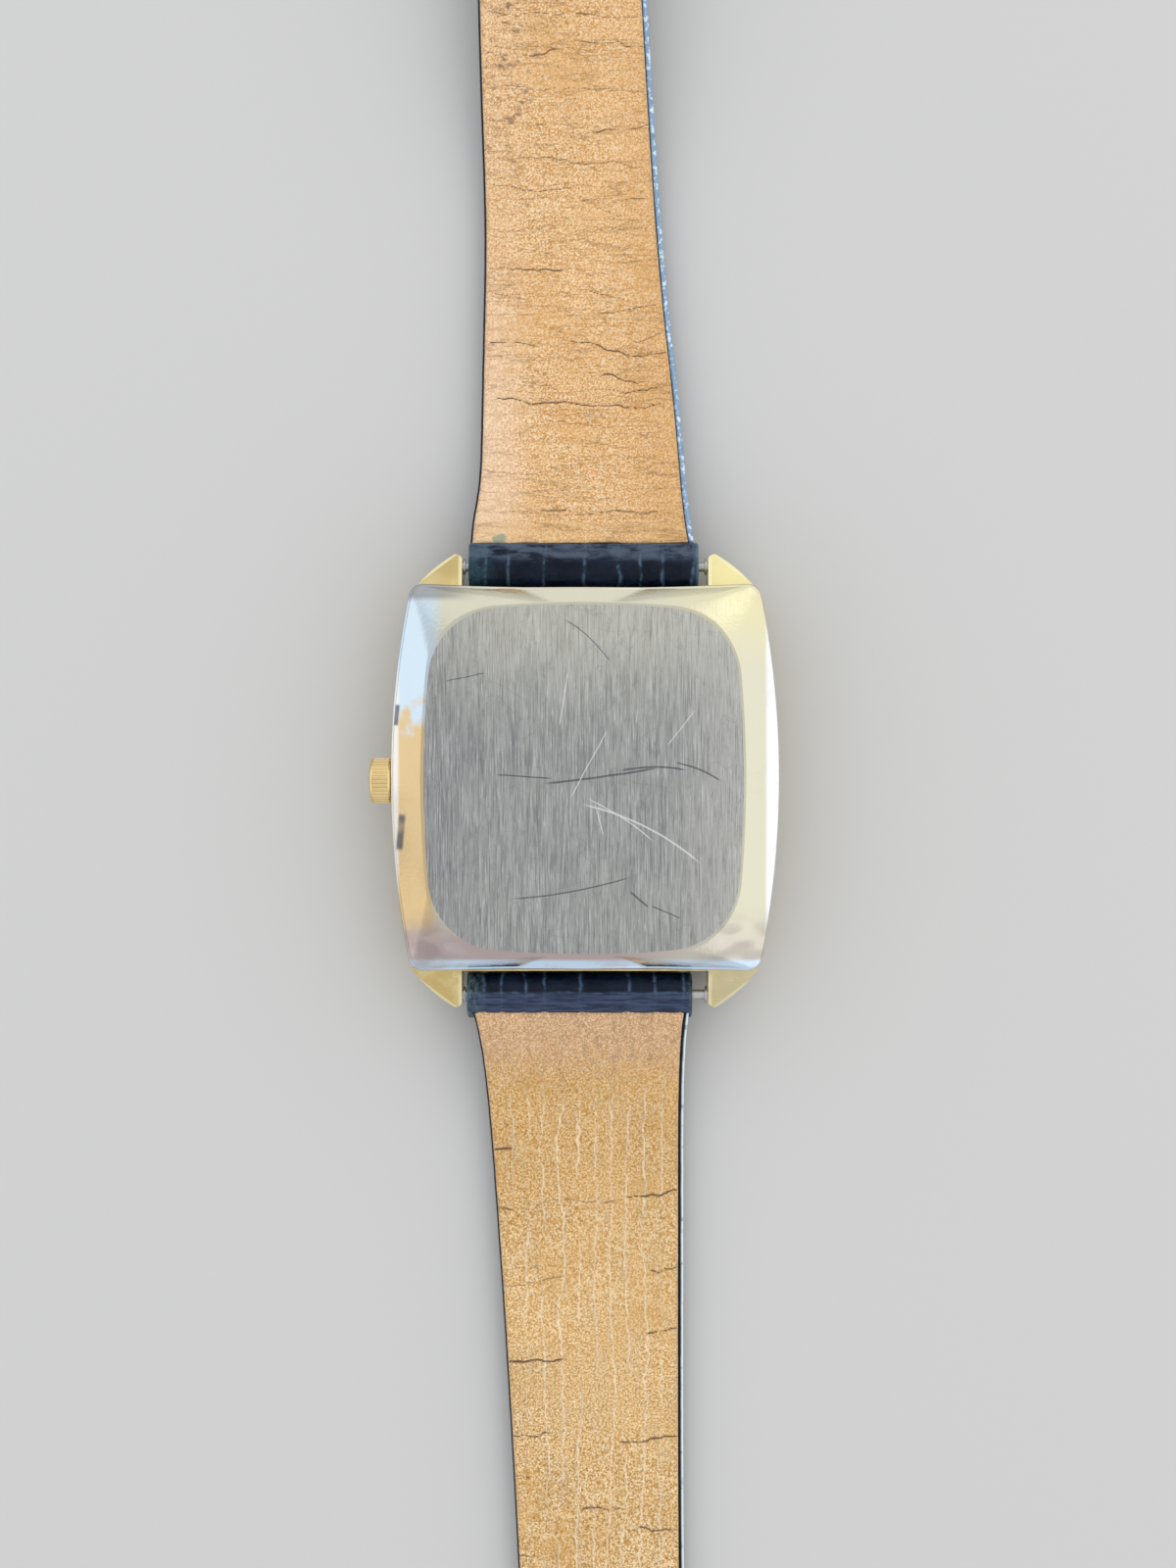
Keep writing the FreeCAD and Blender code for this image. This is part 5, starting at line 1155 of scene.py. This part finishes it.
def metal(name, low, high, roughness, scale=0.6, grain=(1, 1, 1), bump=0.004):
    n = Nodes(name, metallic=1.0, roughness=roughness, colour=low)
    cloud = n.noise(scale, detail=5.0)
    line = n.noise(3.0, n.shift(scale=grain), detail=3.0, rough=0.7)
    n.colour = n.mix(n.ramp(cloud, 0.36, 0.66), low, high)
    n.lay(high, n.ramp(line, 0.56, 0.76, 0.0, 0.35))
    dull = n.ramp(cloud, 0.3, 0.7, roughness * 0.8, roughness * 1.25)
    rough = n.add(dull, n.ramp(line, 0.4, 0.8, 0.0, 0.10))
    return n.finish(rough, n.bump(line, bump))


def perlage(name):
    """Rhodium-plated brass with rows of overlapping circular graining."""
    n = Nodes(name, metallic=1.0, roughness=0.28, colour=(0.62, 0.60, 0.55))
    spots = n.cells(0.85, random=0.15)
    rings = n.math("SINE", n.mul(spots, 46.0))
    cloud = n.noise(0.4, detail=4.0)
    n.colour = n.mix(n.ramp(cloud, 0.35, 0.65), (0.58, 0.565, 0.52), (0.70, 0.68, 0.62))
    rough = n.ramp(rings, -1.0, 1.0, 0.20, 0.36)
    return n.finish(rough, n.bump(n.add(n.mul(rings, 0.5), spots), 0.010))


def rubber(name, low, high):
    n = Nodes(name, roughness=0.6, colour=low)
    grain = n.noise(4.0, detail=4.0)
    n.colour = n.mix(n.ramp(grain, 0.4, 0.7), low, high)
    return n.finish(n.ramp(grain, 0.3, 0.7, 0.5, 0.7), n.bump(grain, 0.01))


def ruby():
    n = Nodes("ruby", roughness=0.08, colour=(0.50, 0.015, 0.05))
    n.shader.inputs["Transmission Weight"].default_value = 0.35
    n.shader.inputs["IOR"].default_value = 1.76
    cloud = n.noise(2.0, detail=3.0)
    n.colour = n.mix(n.ramp(cloud, 0.35, 0.65), (0.42, 0.012, 0.045), (0.62, 0.03, 0.09))
    return n.finish(n.ramp(cloud, 0.3, 0.7, 0.06, 0.14))


def glass():
    n = Nodes("mineral_crystal", roughness=0.02, colour=(0.97, 0.98, 0.98))
    n.shader.inputs["Transmission Weight"].default_value = 1.0
    n.shader.inputs["IOR"].default_value = 1.49
    haze = n.noise(0.7, detail=4.0)
    hairs = n.ramp(n.noise(1.0, n.shift(scale=(6.0, 0.3, 1.0), rotate=(0, 0, 40)), detail=2.0), 0.68, 0.74)
    rough = n.add(n.ramp(haze, 0.4, 0.8, 0.01, 0.05), n.mul(hairs, 0.08))
    n.colour = n.mix(haze, (0.96, 0.98, 0.98), (0.99, 0.985, 0.97))
    return n.finish(rough)


def dial_face():
    """Champagne sunburst: fine rays from the centre."""
    n = Nodes("champagne_sunburst", metallic=0.85, roughness=0.32, colour=(0.72, 0.58, 0.34))
    x, y, _ = n.axes()
    angle = n.math("ARCTAN2", y, x)
    around = n.node("ShaderNodeCombineXYZ")
    n.link(n.mul(n.math("COSINE", angle), 0.02), around.inputs[0])
    n.link(n.mul(n.math("SINE", angle), 0.02), around.inputs[1])
    rays = n.noise(9.0, around.outputs[0], detail=2.0)
    cloud = n.noise(0.2, detail=3.0)
    n.colour = n.mix(n.ramp(rays, 0.35, 0.65), (0.64, 0.50, 0.28), (0.80, 0.67, 0.42))
    n.lay((0.70, 0.60, 0.40), n.ramp(cloud, 0.4, 0.7, 0.0, 0.3))
    return n.finish(n.ramp(rays, 0.3, 0.7, 0.26, 0.40), n.bump(rays, 0.004))


def blue_steel():
    n = Nodes("blued_steel", metallic=1.0, roughness=0.2, colour=(0.05, 0.09, 0.30))
    tint = n.noise(1.2, detail=3.0)
    n.colour = n.mix(n.ramp(tint, 0.38, 0.62), (0.035, 0.07, 0.26), (0.08, 0.10, 0.34))
    return n.finish(n.ramp(tint, 0.3, 0.7, 0.16, 0.28))


def dress_nodes():
    """Gives each remaining CAD node its material."""
    gold = gold_material()
    steel = metal("polished_parts_steel", (0.52, 0.53, 0.54), (0.70, 0.71, 0.72), 0.20)
    bar_steel = metal("bar_steel", (0.42, 0.42, 0.42), (0.62, 0.61, 0.59), 0.34, grain=(0.5, 4.0, 4.0),
                      bump=0.008)
    brass = metal("gilt_brass", (0.66, 0.45, 0.17), (0.82, 0.62, 0.30), 0.26, grain=(1.0, 6.0, 1.0))
    spring = metal("spring_steel", (0.40, 0.41, 0.44), (0.58, 0.60, 0.64), 0.24)
    wheel_steel = metal("winding_steel", (0.50, 0.51, 0.53), (0.74, 0.74, 0.75), 0.22, grain=(3.0, 3.0, 1.0))
    plate = perlage("grained_plate")
    bridge = metal("striped_bridge", (0.56, 0.545, 0.50), (0.72, 0.70, 0.64), 0.26, grain=(0.35, 3.0, 1.0),
                   bump=0.008)
    holder = rubber("movement_ring", (0.50, 0.47, 0.40), (0.62, 0.58, 0.50))
    seal = rubber("black_seal", (0.010, 0.010, 0.011), (0.028, 0.028, 0.030))
    clear_seal = rubber("crystal_seal", (0.30, 0.30, 0.28), (0.42, 0.41, 0.38))
    blue = blue_steel()
    applied = metal("applied_gold", (0.74, 0.54, 0.22), (0.88, 0.70, 0.36), 0.16)
    groups = (
        (gold, ("case_body", "crown", "buckle_frame", "buckle_tongue")),
        (glass(), ("crystal",)),
        (dial_face(), ("dial",)),
        (applied, ("hour_markers", "hour_hand", "minute_hand")),
        (seal, ("case_back_gasket", "crown_gasket")),
        (clear_seal, ("crystal_gasket",)),
        (plate, ("main_plate",)),
        (bridge, ("barrel_bridge", "train_bridge", "balance_cock", "pallet_bridge")),
        (wheel_steel, ("crown_wheel", "ratchet_wheel")),
        (brass, ("barrel_drum", "centre_wheel", "third_wheel", "fourth_wheel", "hour_wheel", "minute_wheel",
                 "balance_wheel")),
        (spring, ("mainspring", "click_spring")),
        (blue, ("hairspring", "movement_screws")),
        (ruby(), ("jewels",)),
        (holder, ("movement_holder",)),
        (bar_steel, ("crown_tube", "buckle_bar")),
    )
    chosen = {name: material for material, names in groups for name in names}
    for name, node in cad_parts.items():
        if name in chosen or not node.hide_render:
            rest = bar_steel if name.startswith("spring_bar") else steel
            node.data.materials.clear()
            node.data.materials.append(chosen.get(name, rest))


# ---------------------------------------------------------------- room
def light(name, place_mm, size, power, colour):
    """A rectangular softbox that faces the watch."""
    lamp = bpy.data.lights.new(name, "AREA")
    lamp.shape = "RECTANGLE"
    lamp.size, lamp.size_y = size[0] * MM, size[1] * MM
    lamp.energy = power
    lamp.color = colour
    made = link_object(name, lamp)
    made.location = [c * MM for c in place_mm]
    direction = Vector([a - p for a, p in zip((0, 0, 8), place_mm)])
    made.rotation_euler = direction.to_track_quat("-Z", "Y").to_euler()


def make_room():
    """The pale floor, the even light of the room and four softboxes."""
    reach = 900.0 * MM
    mesh = bpy.data.meshes.new("floor")
    corners = [(x * reach, y * reach, 0) for x, y in ((-1, -1), (1, -1), (1, 1), (-1, 1))]
    mesh.from_pydata(corners, [], [(0, 1, 2, 3)])
    mesh.materials.append(Nodes("pale_floor", roughness=0.8, colour=(0.62, 0.62, 0.61)).material)
    link_object("floor", mesh)
    world = bpy.data.worlds.new("room")
    bpy.context.scene.world = world
    world.use_nodes = True
    sky = world.node_tree.nodes["Background"].inputs
    sky["Color"].default_value = (0.97, 0.98, 1.0, 1.0)
    sky["Strength"].default_value = 0.84
    light("right_wall", (380, 0, 330), (900, 620), 0.70, (1.0, 0.975, 0.92))
    light("top_window", (0, 400, 330), (640, 520), 0.31, (0.97, 0.98, 1.0))
    light("left_window", (-420, 170, 260), (420, 360), 0.21, (0.90, 0.95, 1.0))
    light("left_low", (-400, -230, 240), (340, 320), 0.14, (1.0, 0.95, 0.85))


def make_camera():
    data = bpy.data.cameras.new("camera")
    data.lens = 52.0
    data.sensor_width = 36.0
    camera = link_object("camera", data)
    camera.location = (0.25 * MM, -0.29 * MM, 200.6 * MM)
    data.clip_start = 0.005
    bpy.context.scene.camera = camera


make_back()
for half_name in (12, 6):
    leather = make_outer(half_name)
    lining = make_lining(half_name)
    make_loop(half_name)
    if half_name == 6:
        punch(leather)
        punch(lining)
make_prongs()
make_keeper("floating_keeper", 57.0, 61.0, 0.12, "floating_keeper")
make_keeper("fixed_keeper", 66.0, 70.0, 0.02, "strap_12")
dress_nodes()
make_room()
make_camera()
bpy.context.scene.view_settings.view_transform = "Standard"
